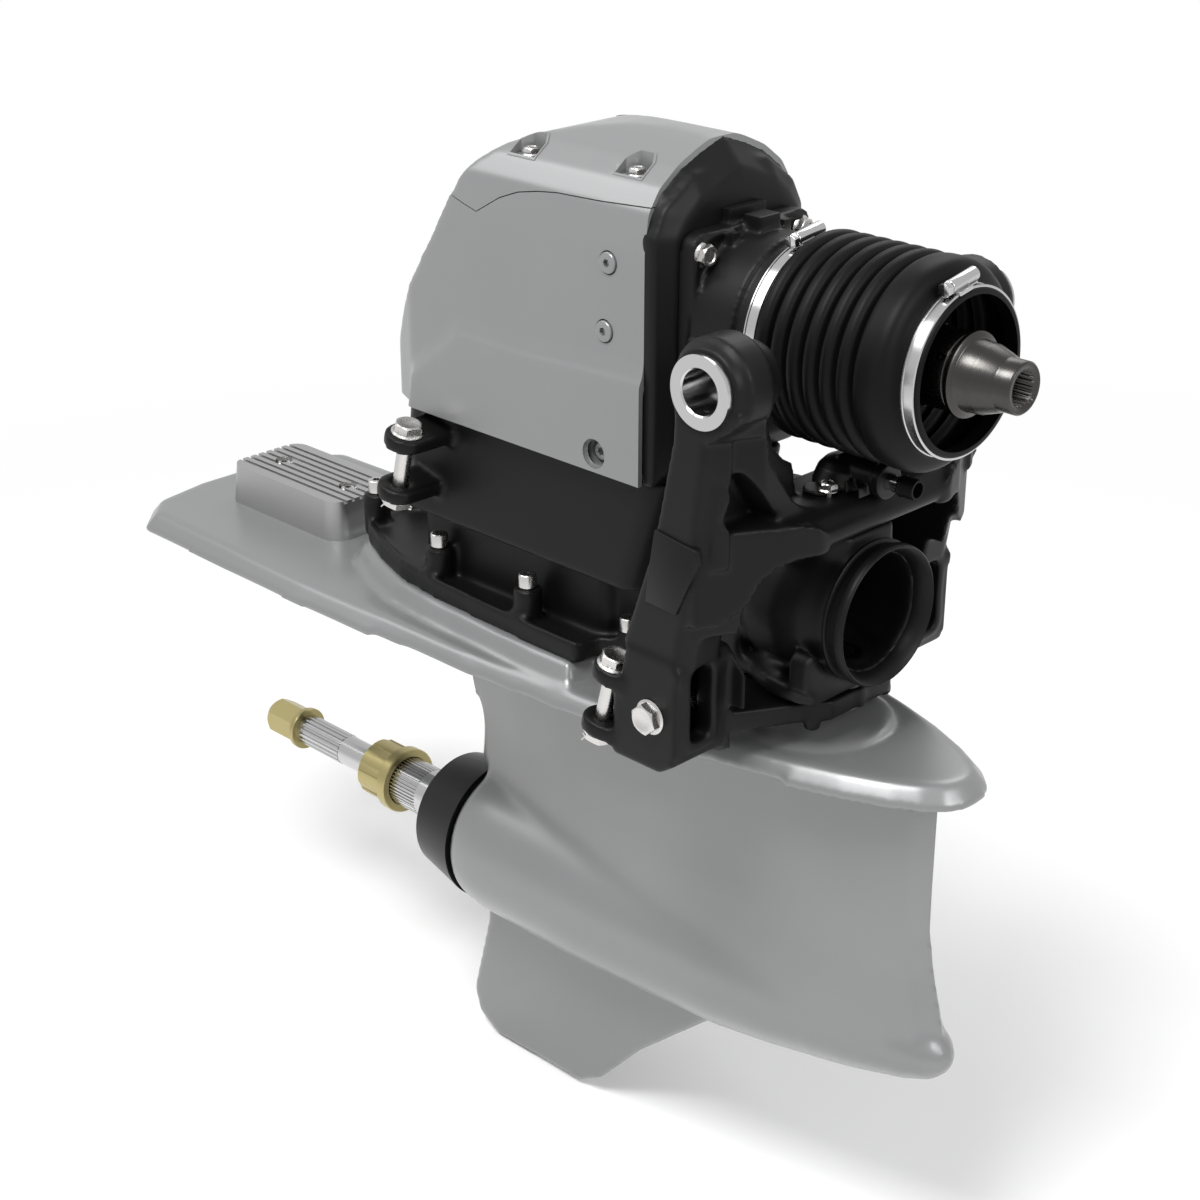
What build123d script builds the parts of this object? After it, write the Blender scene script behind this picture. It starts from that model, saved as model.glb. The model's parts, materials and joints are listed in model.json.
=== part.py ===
from build123d import *
import os
from math import atan2, cos, degrees, hypot, pi, radians, sin

os.makedirs("parts", exist_ok=True)

# Sterndrive with two coaxial propeller shafts.
# X runs forward to the engine, Y to port and Z up, in millimetres.
# The origin is the point where the trim, steering and input shaft axes cross.

# Main axes
propeller_axis_z = -600.0
vertical_shaft_x = -290.0

# Fits
shank_share = 0.55
running_clearance = 0.05
seal_gap = 0.3
joint_gap = 1.0

# Trim pivots
pivot_bore_radius = 17.5
pivot_bush_wall = 5.0
pivot_flange_radius = 28.5
pivot_flange_thickness = 5.0
pivot_face_y = 174.0
pivot_boss_wall = 14.0
pivot_boss_width = 58.0
pivot_bore_chamfer = 1.2
pivot_bush_radius = pivot_bore_radius + pivot_bush_wall
pivot_boss_radius = pivot_bush_radius + pivot_boss_wall
pivot_boss_face_y = pivot_face_y - pivot_flange_thickness - running_clearance
pivot_boss_inner_y = pivot_boss_face_y - pivot_boss_width

# Fork arms, deck, floor and feet
arm_face_y = 172.0
arm_thickness = 44.0
deck_top_z = -115.0
deck_thickness = 28.0
deck_front_x = 45.0
deck_back_x = -34.0
deck_web_y = 140.0
floor_top_z = -287.0
floor_thickness = 18.0
floor_front_x = 28.0
foot_bottom_z = -326.0
foot_front_bottom_z = -311.0
foot_top_z = -226.0
foot_back_x = -87.0
foot_front_x = -2.0
foot_cheek = 16.0
ram_slot_width = 32.0
ram_slot_top_z = -240.0
ram_slot_bottom_z = -304.0
ram_slot_depth = 62.0
lug_radius = 7.0
lug_height = 9.0

# Pins that the hydraulic rams hang on
trim_pin_radius = 7.0
trim_pin_x = -45.0
trim_pin_z = -278.0
steer_pin_radius = 7.0
steer_pin_tilt = 14.0
steer_ear_radius = 17.0
steer_ear_thickness = 14.0
steer_ear_gap = 38.0
fork_ear_x = -101.0
fork_ear_y = 166.0
fork_ear_z = -283.0
housing_ear_x = -403.0
housing_ear_y = 119.0
housing_ear_z = -176.0
housing_ear_radius = 20.0
nut_height = 9.0
pin_head_room = 15.5
head_height = 8.0

# Kingpins of the steering axis
kingpin_radius = 14.0
kingpin_bush_wall = 4.0
kingpin_flange_radius = 22.0
kingpin_flange_thickness = 4.0
kingpin_boss_wall = 7.0
kingpin_reach = 20.0
water_bore_radius = 6.0
thrust_washer_thickness = 4.0
thrust_washer_radius = 26.0
kingpin_bush_radius = kingpin_radius + running_clearance + kingpin_bush_wall
kingpin_boss_radius = kingpin_bush_radius + kingpin_boss_wall
barrel_top_z = deck_top_z - deck_thickness - thrust_washer_thickness - running_clearance
barrel_bottom_z = floor_top_z + thrust_washer_thickness + running_clearance

# Exhaust barrel and collar
exhaust_axis_z = -217.0
barrel_radius = 72.0
barrel_wall = 8.0
snout_radius = 57.0
snout_wall = 8.0
snout_front_x = 30.0
collar_front_x = 51.0
collar_lip_radius = 60.0
collar_lip_length = 7.0
collar_groove_radius = 57.0
collar_groove_length = 8.0
collar_spigot_length = 8.0
collar_spigot_wall = 3.0

# Bellows and its clamps
bellows_crest_radius = 83.0
bellows_root_radius = 75.0
bellows_wall = 3.5
bellows_pitch = 16.0
bellows_crests = 6
bellows_first_crest_x = -25.0
bellows_back_x = -33.0
bellows_back_radius = 71.5
bellows_back_neck = 17.0
bellows_front_x = 97.0
bellows_front_radius = 64.5
bellows_front_neck = 15.0
bellows_shoulder_x = 84.0
clamp_band_width = 12.0
clamp_band_thickness = 1.2
clamp_screw_length = 24.0
clamp_screw_radius = 4.0

# Double universal joint and input sleeve
journal_radius = 7.0
ear_radius = 11.0
ear_inner = 20.0
ear_outer = 30.0
cross_core_radius = 13.0
joint_ball_radius = 22.0
rear_hub_reach = 34.0
centre_hub_thickness = 8.0
front_cross_x = 64.0
front_hub_reach = 16.0
sleeve_front_x = 161.0
sleeve_radius = 20.5
sleeve_flange_radius = 33.0
sleeve_flange_x = 108.0
sleeve_flange_thickness = 7.0
sleeve_taper_front_x = 146.0
sleeve_taper_rise = 8.0
sleeve_shoulder_length = 14.0
spline_bore_radius = 13.2
spline_depth = 1.6
spline_count = 16
spline_length = 50.0
rear_socket_length = 28.0
rear_socket_radius = 24.0

# Upper gears
gear_rim = 3.0
pinion_teeth = 18
driven_teeth = 22
upper_module = 3.6
upper_face = 15.0
pinion_shaft_radius = 16.0
pinion_bearing_radius = 36.0
pinion_bearing_width = 18.0
pinion_bearing_front_x = -140.0
pinion_bearing_back_x = -232.0
vertical_shaft_radius = 14.0
driven_hub_radius = 24.0
driven_bearing_radius = 40.0
driven_bearing_width = 14.0
driven_back_z = 60.0
top_bearing_radius = 26.0
top_bearing_width = 14.0
top_cap_z = 92.0

# Cone clutch
clutch_travel = 2.5
cone_large_radius = 19.5
cone_start_z = 5.0
cone_end_z = 13.0
cone_slope = 0.4
cone_hub_radius = 23.0
cone_hub_face_z = 9.0
cone_fit = 0.3
shoe_groove_radius = 16.5
shoe_thickness = 5.0
shoe_rod_radius = 5.0
shoe_rod_reach = 62.0

# Lower gears
lower_pinion_teeth = 17
propeller_gear_teeth = 29
lower_module = 3.5
lower_face = 16.0
lower_pinion_hub_radius = 21.0
lower_bearing_radius = 30.0
lower_bearing_width = 18.0
coupling_radius = 20.0
coupling_length = 46.0
shaft_joint_z = -264.0

# Propeller shafts
outer_shaft_radius = 25.5
outer_shaft_bore_radius = 19.0
outer_shaft_end_x = -604.0
inner_shaft_radius = 16.0
inner_shaft_end_x = -760.0
inner_shaft_front_x = -200.0
thrust_bearing_radius = 34.0
thrust_bearing_width = 16.0
carrier_bearing_radius = 38.0
carrier_bearing_width = 18.0
carrier_front_x = -336.0
carrier_bearing_back_x = -406.0
shaft_bush_length = 24.0
collar_front_flange_x = -557.0
collar_flange_radius = 34.5
collar_flange_width = 12.0
collar_body_radius = 30.5
nut_front_x = -724.0
nut_flange_radius = 23.0
nut_flange_width = 7.0
nut_across_flats = 36.0
nut_hex_length = 44.0
nut_dome_radius = 13.0
nut_end_x = -782.0
outer_spline_count = 30
outer_spline_depth = 1.2
outer_spline_width = 2.0
outer_spline_start_x = -540.0
outer_spline_end_x = -520.0
inner_spline_count = 16
inner_spline_depth = 1.4
inner_spline_width = 2.6
inner_spline_start_x = -719.0
inner_spline_end_x = -655.0

# Torpedo, strut and skeg
torpedo_radius = 72.0
torpedo_back_x = -418.0
torpedo_bore_radius = 58.0
torpedo_nose_x = 142.0
gear_chamber_front_x = -222.0
ring_back_x = -474.0
ring_back_radius = 61.0
ring_gap = 0.5
ring_wall = 6.0
strut_widest_share = 0.48
strut_tail_share = 0.17
strut_steps = 11
skeg_thickness = 13.0
skeg_bottom_z = -845.0
pinion_tunnel_radius = 33.0
shaft_tunnel_radius = 24.0
intake_radius = 9.0

# Anti-ventilation plate
plate_top_z = -331.0
plate_rim_height = 20.0
plate_thickness = 10.0
plate_rim_width = 9.0
plate_edge = 5.0
plate_fall = 40.0
plate_tip_x = 148.0
plate_back_x = -845.0
plate_half_width = 141.0
plate_corner_radius = 45.0
turret_radius = 64.0
turret_height = 4.0
turret_x = -21.0
cap_front_x = -597.0
cap_back_x = -776.0
cap_half_width = 48.0
cap_height = 40.0
cap_groove_count = 7
cap_groove_width = 4.0
cap_groove_depth = 3.0
cap_groove_pitch = 10.0

exhaust_way_back_x = -528.0

# Intermediate housing
cover_bottom_z = -133.0
flange_band_z = -292.0
flange_bottom_z = -312.0
flange_back_x = -572.0
middle_wall = 8.0
middle_top_half_width = 78.0
middle_bottom_half_width = 86.0
middle_front_x = -118.0
middle_back_x = -452.0
screw_boss_width = 26.0
cap_screw_radius = 8.0
cap_screw_height = 12.0
flange_screw_z = -268.0
trough_lip = 7.0
trough_depth = 8.0
front_screw_drop = 16.0

# Upper gear housing and covers
cover_half_width = 86.0
cover_wall = 4.0
cover_front_x = -140.0
frame_front_x = -118.0
frame_bevel = 17.0
frame_half_width = 88.0
frame_crest_z = 123.0
frame_bevel_depth = 10.0
seam_front_z = 96.0
core_half_width = 68.0
core_top_z = 96.0
core_back_x = -354.0
chamber_radius = 50.0
cover_plate_half_width = 70.0
cover_plate_half_height = 76.0
cover_plate_corner = 13.0
cover_bump_half_width = 22.0
cover_bump_top_z = 88.0
cover_bump_thickness = 8.0
neck_collar_radius = 72.0
neck_collar_end_x = -62.0
cover_disc_thickness = 14.0
neck_bore_radius = 58.0
neck_tip_x = -35.0
cover_screw_radius = 7.5
recess_depth = 5.0
frame_bolt_radius = 4.0


# Bevel gear with its apex at the origin, its axis on Z and its teeth facing down to the apex.
# phase is the turn, in tooth pitches, that puts a tooth or a gap on the X axis.
def bevel_gear(teeth, mate_teeth, module, face, hub_radius, hub_end, bore, phase):
    pitch_radius = module * teeth / 2
    apex_height = module * mate_teeth / 2
    cone_angle = atan2(pitch_radius, apex_height)
    cone_length = hypot(pitch_radius, apex_height)
    addendum = 0.62 * module
    dedendum = 0.95 * module
    root_overlap = 0.6 * module
    inner_share = (cone_length - face) / cone_length
    outward = Vector(cos(cone_angle), 0, -sin(cone_angle))
    along = Vector(sin(cone_angle), 0, cos(cone_angle))

    def point_on(share, height):
        return along * (cone_length * share) + outward * (height * share)

    def profile(share):
        tip_half = 0.13 * pi * module * share
        root_half = 0.30 * pi * module * share
        top = addendum * share
        low = -(dedendum + root_overlap) * share
        return [(-root_half, low), (-tip_half, top), (tip_half, top), (root_half, low)]

    with BuildPart() as tooth:
        for share in (1.0, inner_share):
            place = Plane(origin=point_on(share, 0), x_dir=(0, -1, 0), z_dir=along)
            with BuildSketch(place):
                with BuildLine():
                    Polyline(*profile(share), close=True)
                make_face()
        loft(ruled=True)

    root_outer = point_on(1.0, -dedendum)
    root_inner = point_on(inner_share, -dedendum)
    with BuildPart() as gear:
        with BuildSketch(Plane.XZ):
            with BuildLine():
                Polyline(
                    (0, root_inner.Z),
                    (root_inner.X, root_inner.Z),
                    (root_outer.X, root_outer.Z),
                    (root_outer.X, root_outer.Z + gear_rim),
                    (hub_radius, root_outer.Z + gear_rim + 0.4 * (root_outer.X - hub_radius)),
                    (hub_radius, hub_end),
                    (0, hub_end),
                    close=True,
                )
            make_face()
        revolve(axis=Axis.Z)
        for index in range(teeth):
            add(tooth.part.rotate(Axis.Z, (index + phase) * 360 / teeth))
        with BuildSketch(Plane.XY.offset(-1)):
            Circle(bore)
        extrude(amount=hub_end + 2, mode=Mode.SUBTRACT)
    return gear.part


# Ring on the X axis or on the Z axis, from start to end along it
def ring(plane, start, end, outer, inner):
    with BuildPart() as band:
        with BuildSketch(plane.offset(start)):
            Circle(outer)
            Circle(inner, mode=Mode.SUBTRACT)
        extrude(amount=end - start)
    return band.part


# Rolling bearing: a ring with a race groove sunk in both faces
def bearing(plane, start, end, outer, inner):
    groove_outer = outer - (outer - inner) / 3
    groove_inner = inner + (outer - inner) / 3
    groove_depth = (end - start) / 6
    with BuildPart() as race:
        add(ring(plane, start, end, outer, inner))
        add(ring(plane, start, start + groove_depth, groove_outer, groove_inner), mode=Mode.SUBTRACT)
        add(ring(plane, end - groove_depth, end, groove_outer, groove_inner), mode=Mode.SUBTRACT)
    return race.part


# Hexagon flange bolt: its seat is at the plane's origin and its head points along the plane's normal.
def flange_bolt(seat, shank_radius, shank_length):
    head_flats = 3.4 * shank_radius / 2
    with BuildPart(seat) as bolt:
        Cylinder(2.1 * shank_radius, 2, align=(Align.CENTER, Align.CENTER, Align.MIN))
        with BuildSketch(seat.offset(2)):
            RegularPolygon(head_flats, 6, major_radius=False)
        extrude(amount=head_height - 2)
        Cylinder(shank_radius, shank_length, align=(Align.CENTER, Align.CENTER, Align.MAX))
    return bolt.part


# Hexagon nut with a flange, which stands on its seat and grips the bolt's end
def flange_nut(seat, shank_radius):
    with BuildPart(seat) as nut:
        Cylinder(2.1 * shank_radius, 2, align=(Align.CENTER, Align.CENTER, Align.MIN))
        with BuildSketch(seat.offset(2)):
            RegularPolygon(1.7 * shank_radius, 6, major_radius=False)
        extrude(amount=nut_height - 2)
        with BuildSketch(seat):
            Circle(shank_radius)
        extrude(amount=nut_height, mode=Mode.SUBTRACT)
    return nut.part


# Socket cap screw on a seat plane
def cap_screw(seat, head_radius, head, shank_length):
    with BuildPart(seat) as screw:
        Cylinder(head_radius, head, align=(Align.CENTER, Align.CENTER, Align.MIN))
        Cylinder(shank_share * head_radius, shank_length, align=(Align.CENTER, Align.CENTER, Align.MAX))
        with BuildSketch(seat.offset(head)):
            RegularPolygon(0.45 * head_radius, 6)
        extrude(amount=-head / 2, mode=Mode.SUBTRACT)
    return screw.part


# Trim pivot bushes, which the transom's pivot bolts grip
def pivot_bush(side):
    face = Plane(origin=(0, side * pivot_face_y, 0), x_dir=(1, 0, 0), z_dir=(0, side, 0))
    total = pivot_flange_thickness + pivot_boss_width
    with BuildPart() as bush:
        with BuildSketch(face):
            Circle(pivot_flange_radius)
        extrude(amount=-pivot_flange_thickness)
        with BuildSketch(face):
            Circle(pivot_bush_radius)
        extrude(amount=-total)
        with BuildSketch(face):
            Circle(pivot_bore_radius)
        extrude(amount=-total, mode=Mode.SUBTRACT)
        mouths = bush.edges().filter_by(GeomType.CIRCLE)
        chamfer([mouth for mouth in mouths if abs(mouth.radius - pivot_bore_radius) < 0.01], pivot_bore_chamfer)
    return bush.part


for side_name, side in (("starboard", -1), ("port", 1)):
    bush = pivot_bush(side)
    bush.label = f"pivot_bush_{side_name}"
    export_step(bush, f"parts/pivot_bush_{side_name}.step")


# Suspension fork, modelled for both sides from the port half
def arm_section(height, outer_back, outer_front, inner_front):
    with BuildSketch(Plane.XY.offset(height)) as section:
        with BuildLine():
            Polyline(
                (outer_back, arm_face_y),
                (outer_front, arm_face_y),
                (inner_front, arm_face_y - arm_thickness),
                (outer_back, arm_face_y - arm_thickness),
                close=True,
            )
        make_face()
    return section.sketch


# Pin axis of a steering ram, with its origin halfway between the two ears
def ram_pin_plane(x, y, z, side):
    tilt = radians(steer_pin_tilt)
    return Plane(origin=(x, side * y, z), x_dir=(cos(tilt), 0, -sin(tilt)), z_dir=(sin(tilt), 0, cos(tilt)))


def ram_ears(x, y, z, side, radius, root_x, root_y, root_size):
    middle = ram_pin_plane(x, y, z, side)
    reach = steer_ear_gap / 2 + steer_ear_thickness
    with BuildPart() as ears:
        for low in (-reach, steer_ear_gap / 2):
            with BuildSketch(middle.offset(low)) as ear:
                Circle(radius)
                with Locations((root_x, side * root_y)):
                    Rectangle(root_size, root_size)
                make_hull(ear.edges())
            extrude(amount=steer_ear_thickness)
    return ears.part


def ram_pin_bore(x, y, z, side):
    middle = ram_pin_plane(x, y, z, side)
    with BuildPart() as bore:
        with BuildSketch(middle.offset(-60)):
            Circle(steer_pin_radius)
        extrude(amount=120)
    return bore.part


arm_levels = (
    (-12.0, -26.0, 22.0, 30.0),
    (-45.0, -28.0, 4.0, 28.0),
    (-135.0, -47.0, -8.0, 20.0),
    (-232.0, -81.0, -22.0, 2.0),
)

with BuildPart() as fork_half:
    for lower, upper in zip(arm_levels[1:], arm_levels[:-1]):
        loft([arm_section(*upper), arm_section(*lower)], ruled=True)

    # Foot, open to the front between its two cheeks
    foot_inner_y = pivot_face_y - 64
    with BuildSketch(Plane(origin=(0, foot_inner_y, 0), x_dir=(1, 0, 0), z_dir=(0, 1, 0))):
        with BuildLine():
            Polyline(
                (foot_back_x, -foot_bottom_z),
                (foot_back_x, -foot_top_z),
                (foot_front_x - 20, -foot_top_z),
                (foot_front_x, -foot_top_z + 24),
                (foot_front_x, -foot_front_bottom_z),
                (foot_front_x - 26, -foot_bottom_z),
                close=True,
            )
        make_face()
    extrude(amount=pivot_face_y - foot_inner_y)

    # Trim boss
    with BuildSketch(Plane(origin=(0, pivot_boss_inner_y, 0), x_dir=(1, 0, 0), z_dir=(0, 1, 0))):
        Circle(pivot_boss_radius)
    extrude(amount=pivot_boss_width)

    # Deck with its saddle around the bellows
    saddle_radius = 110.0
    saddle_top_z = -50.0
    with BuildSketch(Plane.YZ.offset(deck_back_x)):
        with BuildLine():
            Polyline(
                (0, deck_top_z - deck_thickness),
                (arm_face_y - 10, deck_top_z - deck_thickness),
                (arm_face_y - 10, saddle_top_z),
                (0, saddle_top_z),
                close=True,
            )
        make_face()
        Circle(saddle_radius, mode=Mode.SUBTRACT)
        with Locations((arm_face_y - 10, saddle_top_z)):
            Rectangle(30, 2 * 30, mode=Mode.SUBTRACT)
        with Locations((0, deck_top_z + 40)):
            Rectangle(2 * 70, 2 * 40, mode=Mode.SUBTRACT)
    extrude(amount=deck_front_x - deck_back_x)

    # Window beside each arm
    window_y = deck_web_y - 20
    with BuildSketch(Plane(origin=(0, window_y, 0), x_dir=(1, 0, 0), z_dir=(0, -1, 0))):
        with BuildLine():
            Polyline((18, -66), (6, -112), (38, -94), close=True)
        make_face()
        fillet(vertices(), 3)
    extrude(amount=-80, mode=Mode.SUBTRACT)

    # Floor between the feet
    with BuildSketch(Plane.XY.offset(floor_top_z - floor_thickness)):
        with BuildLine():
            Polyline(
                (-60, 0),
                (-60, foot_inner_y + 4),
                (-8, foot_inner_y + 4),
                (floor_front_x - 12, 52),
                (floor_front_x, 38),
                (floor_front_x, 0),
                close=True,
            )
        make_face()
    extrude(amount=floor_thickness)
    with Locations((14, 46, floor_top_z - floor_thickness)):
        Cylinder(lug_radius, lug_height, align=(Align.CENTER, Align.CENTER, Align.MAX))

    # Ears of the steering ram
    add(ram_ears(fork_ear_x, fork_ear_y - 1, fork_ear_z, 1, steer_ear_radius, 30, -10, 24))

    # Slot for the trim ram's eye
    slot_centre_y = pivot_face_y - foot_cheek - ram_slot_width / 2
    with BuildSketch(Plane.YZ.offset(foot_front_x + 10)):
        with Locations((slot_centre_y, (ram_slot_top_z + ram_slot_bottom_z) / 2)):
            RectangleRounded(ram_slot_width, ram_slot_top_z - ram_slot_bottom_z, 12)
    extrude(amount=-ram_slot_depth - 10, mode=Mode.SUBTRACT)

    # Room for the bushes' flanges and for the heads and nuts of the pins
    with BuildSketch(Plane(origin=(0, pivot_boss_face_y, 0), x_dir=(1, 0, 0), z_dir=(0, 1, 0))):
        Circle(pivot_flange_radius + seal_gap)
    extrude(amount=20, mode=Mode.SUBTRACT)
    steer_reach = steer_ear_gap / 2 + steer_ear_thickness
    with BuildSketch(ram_pin_plane(fork_ear_x, fork_ear_y - 1, fork_ear_z, 1).offset(steer_reach)):
        Circle(pin_head_room)
    extrude(amount=30, mode=Mode.SUBTRACT)
    with BuildSketch(ram_pin_plane(fork_ear_x, fork_ear_y - 1, fork_ear_z, 1).offset(-steer_reach)):
        Circle(pin_head_room)
    extrude(amount=-30, mode=Mode.SUBTRACT)
    with BuildSketch(Plane(origin=(0, foot_inner_y, 0), x_dir=(1, 0, 0), z_dir=(0, 1, 0))):
        with Locations((trim_pin_x, -trim_pin_z)):
            Circle(pin_head_room)
    extrude(amount=-12, mode=Mode.SUBTRACT)

    # Pin bores
    with BuildSketch(Plane(origin=(0, foot_inner_y - 5, 0), x_dir=(1, 0, 0), z_dir=(0, 1, 0))):
        with Locations((trim_pin_x, -trim_pin_z)):
            Circle(trim_pin_radius)
    extrude(amount=pivot_face_y, mode=Mode.SUBTRACT)
    add(ram_pin_bore(fork_ear_x, fork_ear_y - 1, fork_ear_z, 1), mode=Mode.SUBTRACT)
    with BuildSketch(Plane(origin=(0, pivot_boss_inner_y - 5, 0), x_dir=(1, 0, 0), z_dir=(0, 1, 0))):
        Circle(pivot_bush_radius + running_clearance)
    extrude(amount=pivot_boss_width + 10, mode=Mode.SUBTRACT)

with BuildPart() as suspension_fork:
    add(fork_half.part)
    mirror(fork_half.part, about=Plane.XZ)
    # Kingpin bores and the boss around the upper one
    with BuildSketch(Plane.XY.offset(deck_top_z)):
        Circle(kingpin_boss_radius + 4)
    extrude(amount=-deck_thickness)
    with BuildSketch(Plane.XY.offset(floor_top_z)):
        Circle(kingpin_boss_radius + 4)
    extrude(amount=-floor_thickness)
    with BuildSketch(Plane.XY.offset(deck_top_z + 1)):
        Circle(kingpin_radius)
    extrude(amount=-(deck_top_z - floor_top_z + floor_thickness + 2), mode=Mode.SUBTRACT)
suspension_fork.part.label = "suspension_fork"
export_step(suspension_fork.part, "parts/suspension_fork.step")


# Ram pins: a hexagon flange bolt with its nut
def bolt_and_nut(head_plane, radius, grip):
    nut_plane = Plane(
        origin=head_plane.origin - head_plane.z_dir * grip,
        x_dir=head_plane.x_dir,
        z_dir=head_plane.z_dir * -1,
    )
    with BuildPart() as pair:
        add(flange_bolt(head_plane, radius, grip + nut_height))
        add(flange_nut(nut_plane, radius))
    return pair.part


def steering_pin(x, y, z, side):
    middle = ram_pin_plane(x, y, z, side)
    reach = steer_ear_gap / 2 + steer_ear_thickness
    return bolt_and_nut(middle.offset(reach), steer_pin_radius, 2 * reach)


with BuildPart() as trim_ram_pins:
    for side in (-1, 1):
        head_plane = Plane(
            origin=(trim_pin_x, side * pivot_face_y, trim_pin_z),
            x_dir=(1, 0, 0),
            z_dir=(0, side, 0),
        )
        add(bolt_and_nut(head_plane, trim_pin_radius, pivot_face_y - foot_inner_y))
trim_ram_pins.part.label = "trim_ram_pins"
export_step(trim_ram_pins.part, "parts/trim_ram_pins.step")

with BuildPart() as front_steering_pins:
    for side in (-1, 1):
        add(steering_pin(fork_ear_x, fork_ear_y - 1, fork_ear_z, side))
front_steering_pins.part.label = "front_steering_pins"
export_step(front_steering_pins.part, "parts/front_steering_pins.step")

with BuildPart() as rear_steering_pins:
    for side in (-1, 1):
        add(steering_pin(housing_ear_x, housing_ear_y, housing_ear_z, side))
rear_steering_pins.part.label = "rear_steering_pins"
export_step(rear_steering_pins.part, "parts/rear_steering_pins.step")


# Kingpins: hollow above, solid below, pressed into the fork and turning in bushes in the barrel
with BuildPart() as upper_kingpin:
    with BuildSketch(Plane.XY.offset(deck_top_z)):
        Circle(kingpin_flange_radius)
    extrude(amount=kingpin_flange_thickness)
    with BuildSketch(Plane.XY.offset(deck_top_z)):
        Circle(kingpin_radius)
    extrude(amount=-(deck_top_z - barrel_top_z + kingpin_reach))
    with BuildSketch(Plane.XY.offset(deck_top_z + kingpin_flange_thickness)):
        Circle(water_bore_radius)
    extrude(amount=-(deck_top_z - barrel_top_z + 2 * kingpin_reach), mode=Mode.SUBTRACT)
upper_kingpin.part.label = "upper_kingpin"
export_step(upper_kingpin.part, "parts/upper_kingpin.step")

floor_bottom_z = floor_top_z - floor_thickness
with BuildPart() as lower_kingpin:
    with BuildSketch(Plane.XY.offset(floor_bottom_z)):
        Circle(kingpin_flange_radius)
    extrude(amount=-kingpin_flange_thickness)
    with BuildSketch(Plane.XY.offset(floor_bottom_z)):
        Circle(kingpin_radius)
    extrude(amount=barrel_bottom_z - floor_bottom_z + kingpin_reach)
lower_kingpin.part.label = "lower_kingpin"
export_step(lower_kingpin.part, "parts/lower_kingpin.step")

with BuildPart() as kingpin_bushes:
    for start, direction in ((barrel_top_z, 1), (barrel_bottom_z, -1)):
        with BuildSketch(Plane.XY.offset(start)):
            Circle(thrust_washer_radius)
            Circle(kingpin_radius + running_clearance, mode=Mode.SUBTRACT)
        extrude(amount=direction * thrust_washer_thickness)
        with BuildSketch(Plane.XY.offset(start)):
            Circle(kingpin_bush_radius)
            Circle(kingpin_radius + running_clearance, mode=Mode.SUBTRACT)
        extrude(amount=-direction * kingpin_reach)
kingpin_bushes.part.label = "kingpin_bushes"
export_step(kingpin_bushes.part, "parts/kingpin_bushes.step")


# Cooling water elbow over the upper kingpin, and the metal tube in its hose end
elbow_base_z = deck_top_z + kingpin_flange_thickness
elbow_axis_z = -104.0
elbow_radius = 15.0
elbow_dome_radius = 22.0
elbow_front_x = 44.0
tube_front_x = 72.0
tube_radius = 7.0
tube_socket_depth = 20.0
hose_end_radius = 8.5
hose_end_length = 14.0
elbow_bolt_radius = 4.0
elbow_bolt_y = 33.0
with BuildPart() as water_elbow:
    with BuildSketch(Plane.XY.offset(deck_top_z)):
        SlotOverall(2 * elbow_bolt_y + 26, 26, rotation=90)
        Circle(elbow_dome_radius + 4)
        Circle(kingpin_flange_radius + running_clearance, mode=Mode.SUBTRACT)
    extrude(amount=kingpin_flange_thickness)
    with BuildSketch(Plane.XY.offset(elbow_base_z)):
        Circle(elbow_dome_radius)
    extrude(amount=elbow_axis_z + elbow_radius - elbow_base_z - 6)
    with BuildSketch(Plane.YZ):
        with Locations((0, elbow_axis_z + 1)):
            Circle(elbow_radius)
    extrude(amount=elbow_front_x)
    with BuildSketch(Plane.XY.offset(deck_top_z + 12)):
        Circle(water_bore_radius)
    extrude(amount=-20, mode=Mode.SUBTRACT)
    with BuildSketch(Plane.XY.offset(elbow_base_z)):
        Circle(kingpin_flange_radius + running_clearance)
    extrude(amount=-20, mode=Mode.SUBTRACT)
    with BuildSketch(Plane.XY.offset(deck_top_z)):
        Rectangle(4 * elbow_front_x, 4 * elbow_front_x)
    extrude(amount=-20, mode=Mode.SUBTRACT)
    with BuildSketch(Plane.YZ.offset(elbow_front_x)):
        with Locations((0, elbow_axis_z + 1)):
            Circle(tube_radius)
    extrude(amount=-tube_socket_depth, mode=Mode.SUBTRACT)
    with BuildSketch(Plane.YZ.offset(elbow_front_x)):
        with Locations((0, elbow_axis_z + 1)):
            Circle(water_bore_radius - 1)
    extrude(amount=-elbow_front_x, mode=Mode.SUBTRACT)
    with BuildSketch(Plane.XY.offset(elbow_base_z)):
        with Locations((0, elbow_bolt_y), (0, -elbow_bolt_y)):
            Circle(elbow_bolt_radius)
    extrude(amount=-20, both=True, mode=Mode.SUBTRACT)
water_elbow.part.label = "water_elbow"
export_step(water_elbow.part, "parts/water_elbow.step")

with BuildPart() as water_tube:
    with BuildSketch(Plane.YZ.offset(elbow_front_x - tube_socket_depth)):
        with Locations((0, elbow_axis_z + 1)):
            Circle(tube_radius)
            Circle(tube_radius - 2, mode=Mode.SUBTRACT)
    extrude(amount=tube_front_x - elbow_front_x + tube_socket_depth)
    with BuildSketch(Plane.YZ.offset(tube_front_x - hose_end_length)):
        with Locations((0, elbow_axis_z + 1)):
            Circle(hose_end_radius)
            Circle(tube_radius, mode=Mode.SUBTRACT)
    extrude(amount=hose_end_length)
water_tube.part.label = "water_tube"
export_step(water_tube.part, "parts/water_tube.step")

with BuildPart() as water_elbow_bolts:
    for side in (-1, 1):
        seat = Plane(origin=(0, side * elbow_bolt_y, elbow_base_z))
        add(flange_bolt(seat, elbow_bolt_radius, kingpin_flange_thickness))
water_elbow_bolts.part.label = "water_elbow_bolts"
export_step(water_elbow_bolts.part, "parts/water_elbow_bolts.step")


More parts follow.
